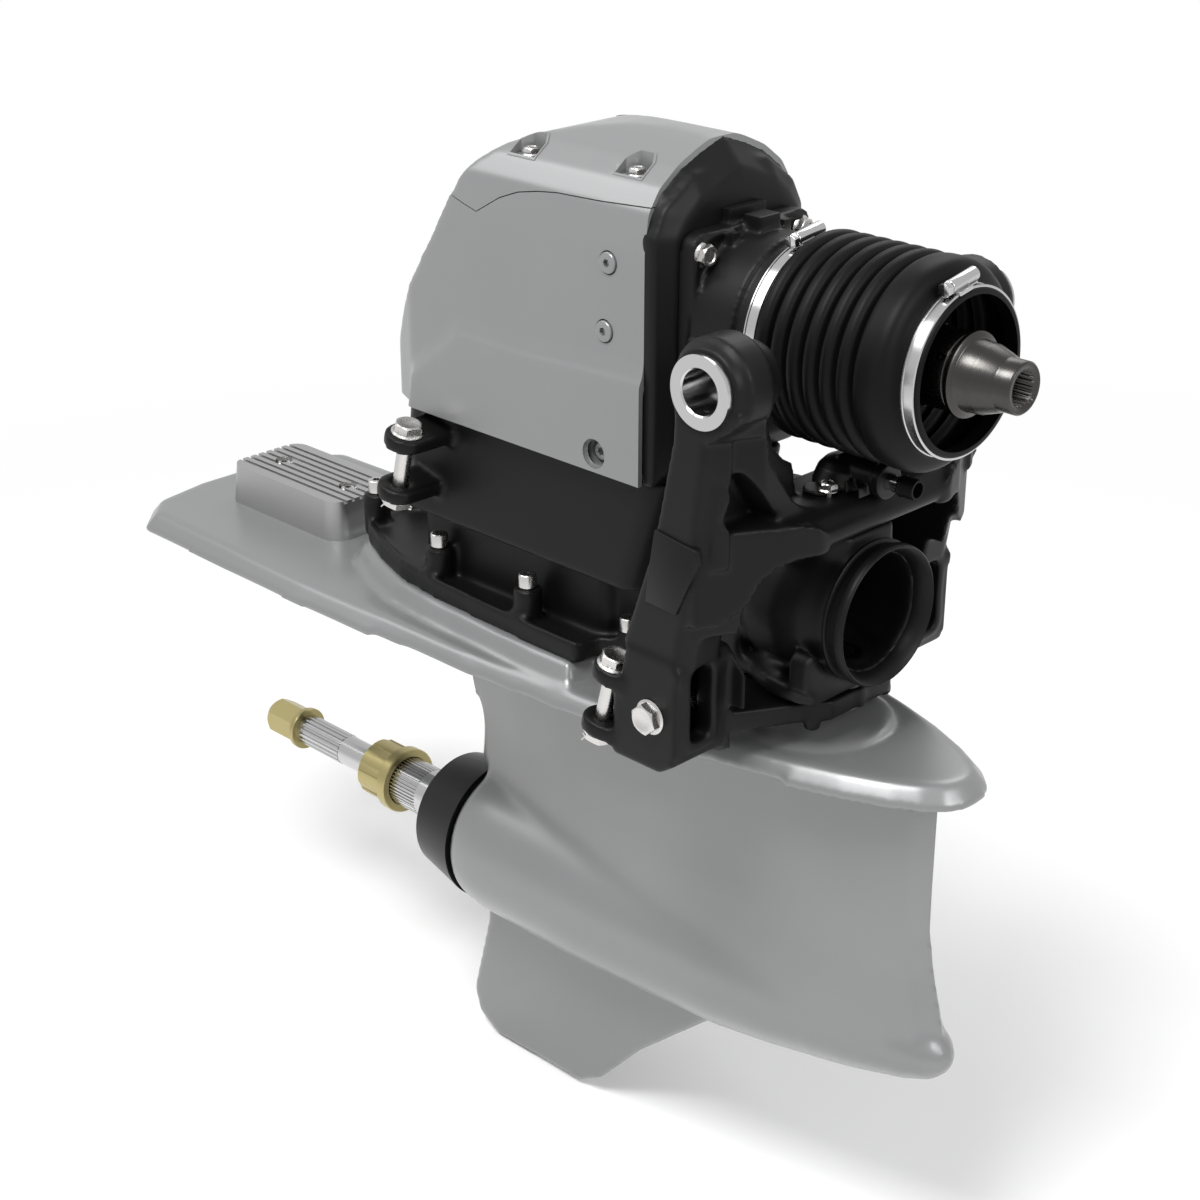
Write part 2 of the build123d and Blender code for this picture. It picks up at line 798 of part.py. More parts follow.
# Universal joint: a cross with its journals on Y and Z
def joint_cross(x):
    with BuildPart() as cross:
        with BuildSketch(Plane.YZ.offset(x)):
            Circle(cross_core_radius)
        extrude(amount=cross_core_radius - 4, both=True)
        for place in (Plane.XZ, Plane.XY):
            with BuildSketch(place):
                with Locations((x, 0)):
                    Circle(journal_radius)
            extrude(amount=ear_outer, both=True)
    return cross.part


# Two side plates with an eye at x, across Y or across Z, and their root at the other end
def yoke_plates(place, x, root_x):
    with BuildPart() as plates:
        for start in (ear_inner, -ear_outer):
            with BuildSketch(place.offset(start)):
                with Locations((x, 0)):
                    Circle(ear_radius)
                with Locations(((x + root_x) / 2, 0)):
                    Rectangle(abs(root_x - x), 2 * ear_radius)
            extrude(amount=ear_outer - ear_inner)
        # Round seats on the ball, or eyes for the cross's journals
        if x == 0:
            Sphere(joint_ball_radius + running_clearance, mode=Mode.SUBTRACT)
        else:
            with BuildSketch(place):
                with Locations((x, 0)):
                    Circle(journal_radius + running_clearance)
            extrude(amount=ear_outer, both=True, mode=Mode.SUBTRACT)
    return plates.part


with BuildPart() as front_cross:
    add(joint_cross(front_cross_x))
front_cross.part.label = "front_cross"
export_step(front_cross.part, "parts/front_cross.step")

with BuildPart() as rear_joint_ball:
    Sphere(joint_ball_radius)
rear_joint_ball.part.label = "rear_joint_ball"
export_step(rear_joint_ball.part, "parts/rear_joint_ball.step")

with BuildPart() as centre_yoke:
    add(yoke_plates(Plane.XZ, 0, front_cross_x / 2))
    add(yoke_plates(Plane.XZ, front_cross_x, front_cross_x / 2))
    with BuildSketch(Plane.YZ.offset(rear_hub_reach)):
        Rectangle(2 * ear_outer, 2 * ear_radius)
    extrude(amount=centre_hub_thickness)
centre_yoke.part.label = "centre_yoke"
export_step(centre_yoke.part, "parts/centre_yoke.step")

with BuildPart() as input_sleeve:
    add(yoke_plates(Plane.XY, front_cross_x, sleeve_flange_x))
    with BuildSketch(Plane.YZ.offset(front_cross_x + front_hub_reach)):
        Circle(ear_outer)
    extrude(amount=sleeve_flange_x - front_cross_x - front_hub_reach)
    with BuildSketch(Plane.YZ.offset(sleeve_flange_x)):
        Circle(sleeve_flange_radius)
    extrude(amount=sleeve_flange_thickness)
    with BuildSketch(Plane.XZ):
        with BuildLine():
            Polyline(
                (sleeve_flange_x, 0),
                (sleeve_flange_x, sleeve_radius + sleeve_taper_rise),
                (sleeve_flange_x + sleeve_shoulder_length, sleeve_radius + sleeve_taper_rise),
                (sleeve_taper_front_x, sleeve_radius),
                (sleeve_front_x - 2, sleeve_radius),
                (sleeve_front_x, sleeve_radius - 2),
                (sleeve_front_x, 0),
                close=True,
            )
        make_face()
    revolve(axis=Axis.X)
    with BuildSketch(Plane.YZ.offset(sleeve_front_x)):
        Circle(spline_bore_radius)
        with PolarLocations(spline_bore_radius, spline_count):
            Rectangle(2 * spline_depth, 2.4)
    extrude(amount=-spline_length, mode=Mode.SUBTRACT)
input_sleeve.part.label = "input_sleeve"
export_step(input_sleeve.part, "parts/input_sleeve.step")

rear_hub_front_x = -rear_hub_reach
rear_hub_back_x = rear_hub_front_x - 12
with BuildPart() as rear_yoke:
    add(yoke_plates(Plane.XY, 0, rear_hub_back_x))
    with BuildSketch(Plane.YZ.offset(rear_hub_front_x)):
        Circle(ear_outer)
    extrude(amount=rear_hub_back_x - rear_hub_front_x)
    with BuildSketch(Plane.YZ.offset(rear_hub_back_x)):
        Circle(rear_socket_radius)
    extrude(amount=-rear_socket_length)
    with BuildSketch(Plane.YZ.offset(rear_hub_back_x - rear_socket_length)):
        Circle(pinion_shaft_radius)
    extrude(amount=rear_socket_length + 6, mode=Mode.SUBTRACT)
rear_yoke.part.label = "rear_yoke"
export_step(rear_yoke.part, "parts/rear_yoke.step")


# Gear trains. Each gear is made with its apex at the origin and then moved to its own apex.
upper_apex = Location((vertical_shaft_x, 0, 0))
lower_apex = Location((vertical_shaft_x, 0, propeller_axis_z))
face_forward = Rotation(0, 90, 0)
face_aft = Rotation(0, -90, 0)
upside_down = Rotation(180, 0, 0)
free_bore_radius = vertical_shaft_radius + running_clearance

with BuildPart() as input_pinion:
    add(
        upper_apex
        * face_forward
        * bevel_gear(
            pinion_teeth,
            driven_teeth,
            upper_module,
            upper_face,
            pinion_shaft_radius,
            vertical_shaft_x * -1 + rear_hub_back_x - rear_socket_length,
            4,
            0,
        )
    )
    with BuildSketch(Plane.YZ.offset(rear_hub_back_x - rear_socket_length)):
        Circle(pinion_shaft_radius)
    extrude(amount=rear_socket_length + 4)
input_pinion.part.label = "input_pinion"
export_step(input_pinion.part, "parts/input_pinion.step")

# Driven gears, each with a hub towards the clutch and a cone seat in it
cone_gap = cone_slope * clutch_travel + cone_fit
cone_seat_z = cone_end_z + clutch_travel + 1
cone_mouth_radius = cone_large_radius - cone_slope * (cone_hub_face_z - cone_start_z) + cone_gap
cone_floor_radius = cone_large_radius - cone_slope * (cone_seat_z - cone_start_z) + cone_gap
with BuildPart() as driven_gear:
    add(
        bevel_gear(
            driven_teeth,
            pinion_teeth,
            upper_module,
            upper_face,
            driven_hub_radius,
            driven_back_z,
            free_bore_radius,
            0.5,
        )
    )
    with BuildSketch(Plane.XY.offset(cone_hub_face_z)):
        Circle(cone_hub_radius)
        Circle(free_bore_radius, mode=Mode.SUBTRACT)
    extrude(amount=27 - cone_hub_face_z)
    with BuildSketch(Plane.XZ):
        with BuildLine():
            Polyline(
                (0, cone_hub_face_z - 1),
                (cone_mouth_radius + cone_slope, cone_hub_face_z - 1),
                (cone_floor_radius, cone_seat_z),
                (0, cone_seat_z),
                close=True,
            )
        make_face()
    revolve(axis=Axis.Z, mode=Mode.SUBTRACT)

upper_driven_gear = upper_apex * driven_gear.part
upper_driven_gear.label = "upper_driven_gear"
export_step(upper_driven_gear, "parts/upper_driven_gear.step")

lower_driven_gear = upper_apex * upside_down * driven_gear.part
lower_driven_gear.label = "lower_driven_gear"
export_step(lower_driven_gear, "parts/lower_driven_gear.step")

driven_bearing_end_z = driven_back_z
driven_bearing_start_z = driven_bearing_end_z - driven_bearing_width
with BuildPart() as driven_gear_bearings:
    for start, end in (
        (driven_bearing_start_z, driven_bearing_end_z),
        (-driven_bearing_end_z, -driven_bearing_start_z),
    ):
        inner = driven_hub_radius + running_clearance
        add(upper_apex * bearing(Plane.XY, start, end, driven_bearing_radius, inner))
driven_gear_bearings.part.label = "driven_gear_bearings"
export_step(driven_gear_bearings.part, "parts/driven_gear_bearings.step")

# Cone clutch and its shift shoe
shoe_side_gap = 0.3
groove_half = shoe_thickness / 2 + shoe_side_gap
cone_small_radius = cone_large_radius - cone_slope * (cone_end_z - cone_start_z)
with BuildPart() as clutch_cone:
    with BuildSketch(Plane.XZ):
        with BuildLine():
            Polyline(
                (0, -cone_end_z),
                (cone_small_radius, -cone_end_z),
                (cone_large_radius, -cone_start_z),
                (cone_large_radius, -groove_half),
                (shoe_groove_radius, -groove_half),
                (shoe_groove_radius, groove_half),
                (cone_large_radius, groove_half),
                (cone_large_radius, cone_start_z),
                (cone_small_radius, cone_end_z),
                (0, cone_end_z),
                close=True,
            )
        make_face()
    revolve(axis=Axis.Z)
    with BuildSketch(Plane.XY.offset(-cone_end_z)):
        Circle(free_bore_radius)
    extrude(amount=2 * cone_end_z, mode=Mode.SUBTRACT)
clutch_part = upper_apex * clutch_cone.part
clutch_part.label = "clutch_cone"
export_step(clutch_part, "parts/clutch_cone.step")

shoe_inner_radius = shoe_groove_radius + shoe_side_gap
shoe_outer_radius = cone_large_radius + 6
with BuildPart() as shift_shoe:
    with BuildSketch(Plane.XY.offset(-shoe_thickness / 2)):
        Circle(shoe_outer_radius)
        Circle(shoe_inner_radius, mode=Mode.SUBTRACT)
        with Locations((shoe_outer_radius - shoe_inner_radius, 0)):
            Rectangle(2 * shoe_outer_radius, 4 * shoe_outer_radius, mode=Mode.SUBTRACT)
    extrude(amount=shoe_thickness)
    with BuildSketch(Plane.YZ.offset(-shoe_outer_radius + 2)):
        Circle(shoe_rod_radius)
    extrude(amount=-(shoe_rod_reach - shoe_outer_radius + 2))
shoe_part = upper_apex * shift_shoe.part
shoe_part.label = "shift_shoe"
export_step(shoe_part, "parts/shift_shoe.step")

# Vertical shafts, their coupling and bearings
top_bearing_start_z = driven_back_z + 2
shaft_top_z = top_bearing_start_z + top_bearing_width
lower_bearing_bottom_z = -525.0
lower_pinion_hub_end = 97.0
lower_shaft_end_z = propeller_axis_z + 38.0
with BuildPart() as upper_vertical_shaft:
    with BuildSketch(Plane.XY.offset(shaft_joint_z)):
        with Locations((vertical_shaft_x, 0)):
            Circle(vertical_shaft_radius)
    extrude(amount=shaft_top_z - shaft_joint_z)
upper_vertical_shaft.part.label = "upper_vertical_shaft"
export_step(upper_vertical_shaft.part, "parts/upper_vertical_shaft.step")

with BuildPart() as lower_vertical_shaft:
    with BuildSketch(Plane.XY.offset(shaft_joint_z - joint_gap)):
        with Locations((vertical_shaft_x, 0)):
            Circle(vertical_shaft_radius)
    extrude(amount=lower_shaft_end_z - shaft_joint_z + joint_gap)
lower_vertical_shaft.part.label = "lower_vertical_shaft"
export_step(lower_vertical_shaft.part, "parts/lower_vertical_shaft.step")

with BuildPart() as coupling_sleeve:
    with BuildSketch(Plane.XY.offset(shaft_joint_z - coupling_length / 2)):
        with Locations((vertical_shaft_x, 0)):
            Circle(coupling_radius)
            Circle(vertical_shaft_radius, mode=Mode.SUBTRACT)
    extrude(amount=coupling_length)
coupling_sleeve.part.label = "coupling_sleeve"
export_step(coupling_sleeve.part, "parts/coupling_sleeve.step")

with BuildPart() as vertical_shaft_bearings:
    for start, inner, outer, width in (
        (top_bearing_start_z, free_bore_radius, top_bearing_radius, top_bearing_width),
        (-shaft_top_z, free_bore_radius, top_bearing_radius, top_bearing_width),
        (
            lower_bearing_bottom_z,
            lower_pinion_hub_radius + running_clearance,
            lower_bearing_radius,
            lower_bearing_width,
        ),
    ):
        add(upper_apex * bearing(Plane.XY, start, start + width, outer, inner))
vertical_shaft_bearings.part.label = "vertical_shaft_bearings"
export_step(vertical_shaft_bearings.part, "parts/vertical_shaft_bearings.step")

lower_pinion = (
    lower_apex
    * bevel_gear(
        lower_pinion_teeth,
        propeller_gear_teeth,
        lower_module,
        lower_face,
        lower_pinion_hub_radius,
        lower_pinion_hub_end,
        vertical_shaft_radius,
        0,
    )
)
lower_pinion.label = "lower_pinion"
export_step(lower_pinion, "parts/lower_pinion.step")

# Gears of the two propeller shafts
propeller_hub_radius = 30.0
propeller_hub_end = 66.0
fore_gear = (
    lower_apex
    * face_forward
    * bevel_gear(
        propeller_gear_teeth,
        lower_pinion_teeth,
        lower_module,
        lower_face,
        propeller_hub_radius,
        propeller_hub_end,
        inner_shaft_radius,
        0,
    )
)
fore_gear.label = "fore_propeller_gear"
export_step(fore_gear, "parts/fore_propeller_gear.step")

aft_gear = (
    lower_apex
    * face_aft
    * bevel_gear(
        propeller_gear_teeth,
        lower_pinion_teeth,
        lower_module,
        lower_face,
        propeller_hub_radius,
        propeller_hub_end,
        outer_shaft_radius,
        0,
    )
)
aft_gear.label = "aft_propeller_gear"
export_step(aft_gear, "parts/aft_propeller_gear.step")

# Propeller shafts, one inside the other
along_propeller = Plane(origin=(0, 0, propeller_axis_z), x_dir=(0, 1, 0), z_dir=(1, 0, 0))
outer_shaft_front_x = vertical_shaft_x - 27.0


def spline_grooves(radius, depth, width, count, start, end):
    with BuildPart() as grooves:
        with BuildSketch(along_propeller.offset(end)):
            with PolarLocations(radius, count):
                Rectangle(2 * depth, width)
        extrude(amount=start - end)
    return grooves.part


with BuildPart() as inner_propeller_shaft:
    with BuildSketch(along_propeller.offset(inner_shaft_end_x)):
        Circle(inner_shaft_radius)
    extrude(amount=inner_shaft_front_x - inner_shaft_end_x)
    add(
        spline_grooves(
            inner_shaft_radius,
            inner_spline_depth,
            inner_spline_width,
            inner_spline_count,
            inner_spline_end_x,
            inner_spline_start_x,
        ),
        mode=Mode.SUBTRACT,
    )
inner_propeller_shaft.part.label = "inner_propeller_shaft"
export_step(inner_propeller_shaft.part, "parts/inner_propeller_shaft.step")

with BuildPart() as outer_propeller_shaft:
    with BuildSketch(along_propeller.offset(outer_shaft_end_x)):
        Circle(outer_shaft_radius)
        Circle(outer_shaft_bore_radius, mode=Mode.SUBTRACT)
    extrude(amount=outer_shaft_front_x - outer_shaft_end_x)
    add(
        spline_grooves(
            outer_shaft_radius,
            outer_spline_depth,
            outer_spline_width,
            outer_spline_count,
            outer_spline_end_x,
            outer_spline_start_x,
        ),
        mode=Mode.SUBTRACT,
    )
outer_propeller_shaft.part.label = "outer_propeller_shaft"
export_step(outer_propeller_shaft.part, "parts/outer_propeller_shaft.step")

with BuildPart() as shaft_bushes:
    for start in (outer_shaft_front_x - 10 - shaft_bush_length, outer_shaft_end_x + 4):
        inner = inner_shaft_radius + running_clearance
        add(ring(along_propeller, start, start + shaft_bush_length, outer_shaft_bore_radius, inner))
shaft_bushes.part.label = "shaft_bushes"
export_step(shaft_bushes.part, "parts/shaft_bushes.step")

with BuildPart() as shaft_collar:
    add(
        ring(
            along_propeller,
            collar_front_flange_x - collar_flange_width,
            collar_front_flange_x,
            collar_flange_radius,
            outer_shaft_radius,
        )
    )
    add(ring(along_propeller, outer_shaft_end_x, collar_front_flange_x, collar_body_radius, outer_shaft_radius))
    with BuildSketch(along_propeller.offset(outer_shaft_end_x)):
        with PolarLocations(collar_body_radius, 8, start_angle=22.5):
            Rectangle(3, 9)
        Circle(collar_body_radius - 1, mode=Mode.SUBTRACT)
    extrude(amount=collar_front_flange_x - collar_flange_width - outer_shaft_end_x)
shaft_collar.part.label = "shaft_collar"
export_step(shaft_collar.part, "parts/shaft_collar.step")

nut_flange_back_x = nut_front_x - nut_flange_width
nut_hex_back_x = nut_flange_back_x - nut_hex_length
with BuildPart() as propeller_nut:
    with BuildSketch(along_propeller.offset(nut_front_x)):
        Circle(nut_flange_radius)
    extrude(amount=-nut_flange_width)
    with BuildSketch(along_propeller.offset(nut_flange_back_x)):
        RegularPolygon(nut_across_flats / 2, 6, major_radius=False)
    extrude(amount=-nut_hex_length)
    with BuildSketch(along_propeller.offset(nut_hex_back_x)):
        Circle(nut_dome_radius + 3)
    extrude(amount=nut_end_x - nut_hex_back_x, taper=12)
    fillet(propeller_nut.edges().sort_by(Axis.X)[0], 6)
    with BuildSketch(along_propeller.offset(nut_front_x)):
        Circle(inner_shaft_radius)
    extrude(amount=inner_shaft_end_x - nut_front_x, mode=Mode.SUBTRACT)
propeller_nut.part.label = "propeller_nut"
export_step(propeller_nut.part, "parts/propeller_nut.step")

# Bearings, carrier and seals around the propeller shafts
hub_bearing_front_x = carrier_front_x - 2
with BuildPart() as propeller_shaft_bearings:
    for start, width, outer, inner in (
        (gear_chamber_front_x, thrust_bearing_width, thrust_bearing_radius, inner_shaft_radius),
        (
            hub_bearing_front_x - carrier_bearing_width,
            carrier_bearing_width,
            carrier_bearing_radius,
            propeller_hub_radius,
        ),
        (carrier_bearing_back_x, carrier_bearing_width, carrier_bearing_radius, outer_shaft_radius),
    ):
        add(bearing(along_propeller, start, start + width, outer, inner + running_clearance))
propeller_shaft_bearings.part.label = "propeller_shaft_bearings"
export_step(propeller_shaft_bearings.part, "parts/propeller_shaft_bearings.step")

seal_radius = 33.0
seal_width = 9.0
carrier_flange_radius = 63.0
carrier_flange_width = 6.0
carrier_back_x = torpedo_back_x - carrier_flange_width
with BuildPart() as bearing_carrier:
    with BuildSketch(along_propeller.offset(carrier_front_x)):
        Circle(torpedo_bore_radius)
    extrude(amount=torpedo_back_x - carrier_front_x)
    with BuildSketch(along_propeller.offset(torpedo_back_x)):
        Circle(carrier_flange_radius)
    extrude(amount=-carrier_flange_width)
    with BuildSketch(along_propeller.offset(carrier_front_x)):
        Circle(carrier_bearing_radius)
    extrude(amount=carrier_bearing_back_x - carrier_front_x, mode=Mode.SUBTRACT)
    with BuildSketch(along_propeller.offset(carrier_back_x)):
        Circle(seal_radius)
    extrude(amount=carrier_bearing_back_x - carrier_back_x, mode=Mode.SUBTRACT)
    with BuildSketch(along_propeller.offset(carrier_front_x - 46)):
        Circle(torpedo_bore_radius)
        Circle(torpedo_bore_radius - 6, mode=Mode.SUBTRACT)
    extrude(amount=-24, mode=Mode.SUBTRACT)
bearing_carrier.part.label = "bearing_carrier"
export_step(bearing_carrier.part, "parts/bearing_carrier.step")

input_seal_back_x = -112.0
input_seal_radius = 30.0
with BuildPart() as shaft_seals:
    add(
        ring(
            along_propeller,
            carrier_back_x + 2,
            carrier_back_x + 2 + seal_width,
            seal_radius,
            outer_shaft_radius + seal_gap,
        )
    )
    add(
        ring(
            Plane.YZ,
            input_seal_back_x,
            input_seal_back_x + seal_width,
            input_seal_radius,
            pinion_shaft_radius + seal_gap,
        )
    )
shaft_seals.part.label = "shaft_seals"
export_step(shaft_seals.part, "parts/shaft_seals.step")

with BuildPart() as pinion_bearings:
    for start in (pinion_bearing_front_x, pinion_bearing_back_x):
        inner = pinion_shaft_radius + running_clearance
        add(bearing(Plane.YZ, start, start + pinion_bearing_width, pinion_bearing_radius, inner))
pinion_bearings.part.label = "pinion_bearings"
export_step(pinion_bearings.part, "parts/pinion_bearings.step")


# Lower gear housing: plate, strut, torpedo and skeg in one casting
plate_half = (
    (plate_tip_x, 0),
    (plate_tip_x - 2, 12),
    (139, 27),
    (124, 41),
    (100, 55),
    (63, 71),
    (20, 85),
    (-26, 97),
    (-75, 108),
    (-155, 122),
    (-330, 135),
    (-550, plate_half_width),
    (plate_back_x + plate_corner_radius, plate_half_width - 6),
    (plate_back_x + 12, plate_half_width - 38),
    (plate_back_x, 40),
    (plate_back_x, 0),
)
with BuildSketch() as plate_outline:
    with BuildLine():
        right = Polyline(*plate_half)
        mirror(right, about=Plane.XZ)
    make_face()

# Flange outline shared by the intermediate and the lower housing
flange_half = (
    (flange_back_x, 0),
    (flange_back_x, 18),
    (-543, 50),
    (-504, 68),
    (-452, 86),
    (-400, 93),
    (-327, 97),
    (-257, 100),
    (-205, 100),
    (-201, 76),
    (-180, 66),
    (-161, 59),
    (-135, 54),
    (-110, 50),
    (-110, 0),
)
with BuildSketch() as flange_outline:
    with BuildLine():
        right = Polyline(*flange_half)
        mirror(right, about=Plane.XZ)
    make_face()

pad_half = (
    (flange_back_x - 3, 0),
    (flange_back_x - 3, 20),
    (-545, 53),
    (-506, 71),
    (-453, 89),
    (-401, 96),
    (-327, 100),
    (-257, 103),
    (-212, 102),
    (-210, 70),
    (-184, 58),
    (-163, 51),
    (-137, 44),
    (-112, 40),
    (-112, 0),
)
with BuildSketch() as pad_outline:
    with BuildLine():
        right = Polyline(*pad_half)
        mirror(right, about=Plane.XZ)
    make_face()


# Strut section at a height: an elliptical nose, greatest thickness near the middle, and a thin tail
def strut_half_width(share):
    if share < strut_widest_share:
        return (1 - (1 - share / strut_widest_share) ** 2) ** 0.5
    return 1 - (1 - strut_tail_share) * ((share - strut_widest_share) / (1 - strut_widest_share)) ** 2


def strut_section(height, front, back, half_thickness):
    shares = [(step / strut_steps) ** 1.5 for step in range(1, strut_steps + 1)]
    side = [(front - share * (front - back), half_thickness * strut_half_width(share)) for share in shares]
    with BuildSketch(Plane.XY.offset(height)) as section:
        with BuildLine():
            Polyline((front, 0), *side, *[(x, -y) for x, y in reversed(side)], close=True)
        make_face()
    return section.sketch


strut_levels = (
    (plate_top_z - 2, 111.0, -450.0, 42.0),
    (-440.0, 111.0, -446.0, 42.0),
    (-484.0, 112.0, -433.0, 42.5),
    (-524.0, 119.0, -438.0, 47.0),
    (-560.0, 128.0, -430.0, 54.0),
    (propeller_axis_z, 137.0, -424.0, 60.0),
)
skeg_half = skeg_thickness / 2
torpedo_profile = (
    (torpedo_back_x, torpedo_radius),
    (-385, torpedo_radius + 4),
    (-260, torpedo_radius + 4),
    (-160, torpedo_radius - 1),
    (-90, 67),
    (-30, 59),
    (8, 52),
    (58, 42),
    (105, 30),
    (128, 21),
    (torpedo_nose_x - 3, 10),
    (torpedo_nose_x, 0),
)
with BuildPart() as lower_gear_housing:
    # The plate's top falls away to a thin edge all round, and its underside is hollow
    with BuildSketch(Plane.XY.offset(plate_top_z - plate_rim_height)):
        add(plate_outline.sketch)
    extrude(amount=plate_edge)
    with BuildSketch(Plane.XY.offset(plate_top_z - plate_rim_height + plate_edge)):
        add(plate_outline.sketch)
    extrude(amount=plate_rim_height - plate_edge, taper=plate_fall)
    with BuildSketch(Plane.XY.offset(plate_top_z - plate_rim_height)):
        offset(plate_outline.sketch, -plate_rim_width)
    extrude(amount=plate_rim_height - plate_thickness, taper=plate_fall, mode=Mode.SUBTRACT)
    with BuildSketch(Plane.XY.offset(flange_bottom_z)):
        add(pad_outline.sketch)
    extrude(amount=plate_top_z - flange_bottom_z, taper=-26)
    with BuildSketch(Plane.XY.offset(plate_top_z - plate_thickness)):
        with Locations((turret_x, 0)):
            Circle(turret_radius)
    extrude(amount=plate_thickness + turret_height)
    for upper, lower in zip(strut_levels[:-1], strut_levels[1:]):
        loft([strut_section(*upper), strut_section(*lower)], ruled=True)
    with BuildSketch(Plane.XZ):
        with BuildLine():
            Polyline(
                (torpedo_back_x, propeller_axis_z),
                *[(x, propeller_axis_z + r) for x, r in torpedo_profile],
                close=True,
            )
        make_face()
    revolve(axis=Axis((0, 0, propeller_axis_z), (1, 0, 0)))
    with BuildSketch(Plane.XZ):
        with BuildLine():
            Polyline(
                (-431, -640),
                (-431, -708),
                (-456, -804),
                (-448, -830),
                (-423, skeg_bottom_z),
                (-300, skeg_bottom_z + 3),
                (-272, -826),
                (-220, -768),
                (-133, -691),
                (-60, -640),
                close=True,
            )
        make_face()
    extrude(amount=skeg_half, both=True)

    # Room for the ring behind the casting
    with BuildSketch(Plane.XZ):
        with BuildLine():
            Polyline(
                (torpedo_back_x, propeller_axis_z),
                (torpedo_back_x, propeller_axis_z + torpedo_radius + ring_gap),
                (ring_back_x, propeller_axis_z + ring_back_radius + ring_gap),
                (ring_back_x, propeller_axis_z),
                close=True,
            )
        make_face()
    revolve(axis=Axis((0, 0, propeller_axis_z), (1, 0, 0)), mode=Mode.SUBTRACT)

    # Bores of the gear chamber, the vertical shaft and their bearings
    with BuildSketch(along_propeller.offset(torpedo_back_x)):
        Circle(torpedo_bore_radius)
    extrude(amount=gear_chamber_front_x - torpedo_back_x, mode=Mode.SUBTRACT)
    with BuildSketch(along_propeller.offset(gear_chamber_front_x)):
        Circle(thrust_bearing_radius)
    extrude(amount=thrust_bearing_width, mode=Mode.SUBTRACT)
    with BuildSketch(along_propeller.offset(gear_chamber_front_x)):
        Circle(inner_shaft_radius + 3)
    extrude(amount=inner_shaft_front_x - gear_chamber_front_x + 4, mode=Mode.SUBTRACT)
    for bottom, top, radius in (
        (propeller_axis_z + 30, lower_bearing_bottom_z, pinion_tunnel_radius),
        (lower_bearing_bottom_z, lower_bearing_bottom_z + lower_bearing_width, lower_bearing_radius),
        (lower_bearing_bottom_z, flange_bottom_z, shaft_tunnel_radius),
    ):
        with BuildSketch(Plane.XY.offset(bottom)):
            with Locations((vertical_shaft_x, 0)):
                Circle(radius)
        extrude(amount=top - bottom, mode=Mode.SUBTRACT)

    # Exhaust way from the flange to the outlet behind the strut
    for start, length, half, top, depth in (
        (exhaust_way_back_x, 130.0, 34.0, flange_bottom_z, 14.0),
        (exhaust_way_back_x, 72.0, 30.0, flange_bottom_z - 14.0, 30.0),
    ):
        with BuildSketch(Plane.XY.offset(top)):
            with Locations((start + length / 2, 0)):
                Rectangle(length, 2 * half)
        extrude(amount=-depth, mode=Mode.SUBTRACT)

    # Water intake under the nose and its channel up the strut
    with BuildSketch(Plane.XY.offset(propeller_axis_z - 60)):
        with Locations((84, 0)):
            Circle(intake_radius)
    extrude(amount=flange_bottom_z - propeller_axis_z - 40, mode=Mode.SUBTRACT)
lower_gear_housing.part.label = "lower_gear_housing"
export_step(lower_gear_housing.part, "parts/lower_gear_housing.step")

with BuildPart() as torpedo_ring:
    with BuildSketch(Plane.XZ):
        with BuildLine():
            Polyline(
                (torpedo_back_x, propeller_axis_z + torpedo_radius),
                (ring_back_x, propeller_axis_z + ring_back_radius),
                (ring_back_x, propeller_axis_z + ring_back_radius - ring_wall),
                (torpedo_back_x, propeller_axis_z + torpedo_radius - ring_wall),
                close=True,
            )
        make_face()
    revolve(axis=Axis((0, 0, propeller_axis_z), (1, 0, 0)))
torpedo_ring.part.label = "torpedo_ring"
export_step(torpedo_ring.part, "parts/torpedo_ring.step")

# Ribbed cap on the plate, and its screws
cap_length = cap_front_x - cap_back_x
cap_middle_x = (cap_front_x + cap_back_x) / 2
cap_screw_x = (cap_middle_x - 52, cap_middle_x + 52)
with BuildPart() as plate_cap:
    with BuildSketch(Plane.XY.offset(plate_top_z)):
        with Locations((cap_middle_x, 0)):
            RectangleRounded(cap_length, 2 * cap_half_width, 20)
    extrude(amount=cap_height, taper=6)
    with BuildSketch(Plane.XY.offset(plate_top_z + cap_height)):
        for index in range(cap_groove_count):
            with Locations((cap_middle_x, (index - (cap_groove_count - 1) / 2) * cap_groove_pitch)):
                Rectangle(cap_length, cap_groove_width)
    extrude(amount=-cap_groove_depth, mode=Mode.SUBTRACT)
    with BuildSketch(Plane.XY.offset(plate_top_z + cap_height)):
        with Locations(*[(x, 0) for x in cap_screw_x]):
            Circle(cap_screw_radius + 1)
    extrude(amount=-10, mode=Mode.SUBTRACT)
    with BuildSketch(Plane.XY.offset(plate_top_z + cap_height)):
        with Locations(*[(x, 0) for x in cap_screw_x]):
            Circle(shank_share * cap_screw_radius)
    extrude(amount=-cap_height, mode=Mode.SUBTRACT)
plate_cap.part.label = "plate_cap"
export_step(plate_cap.part, "parts/plate_cap.step")

with BuildPart() as plate_cap_screws:
    for x in cap_screw_x:
        seat = Plane(origin=(x, 0, plate_top_z + cap_height - 10))
        add(cap_screw(seat, cap_screw_radius, 8, cap_height - 10))
plate_cap_screws.part.label = "plate_cap_screws"
export_step(plate_cap_screws.part, "parts/plate_cap_screws.step")


# Intermediate housing with the exhaust barrel between the kingpins
shoulder_z = -236.0
flange_screw_places = ((-554.0, 28.0), (-408.0, 75.0), (-283.0, 82.0))
front_screw_place = (-180.0, 60.0)
neck_inset = 24.0
neck_front_x = -202.0
neck_front_half = 49.0


def middle_section(height, back_x, front_x, half_width, corner):
    with BuildSketch(Plane.XY.offset(height)) as section:
        with Locations(((front_x + back_x) / 2, 0)):
            RectangleRounded(front_x - back_x, 2 * half_width, corner)
    return section.sketch


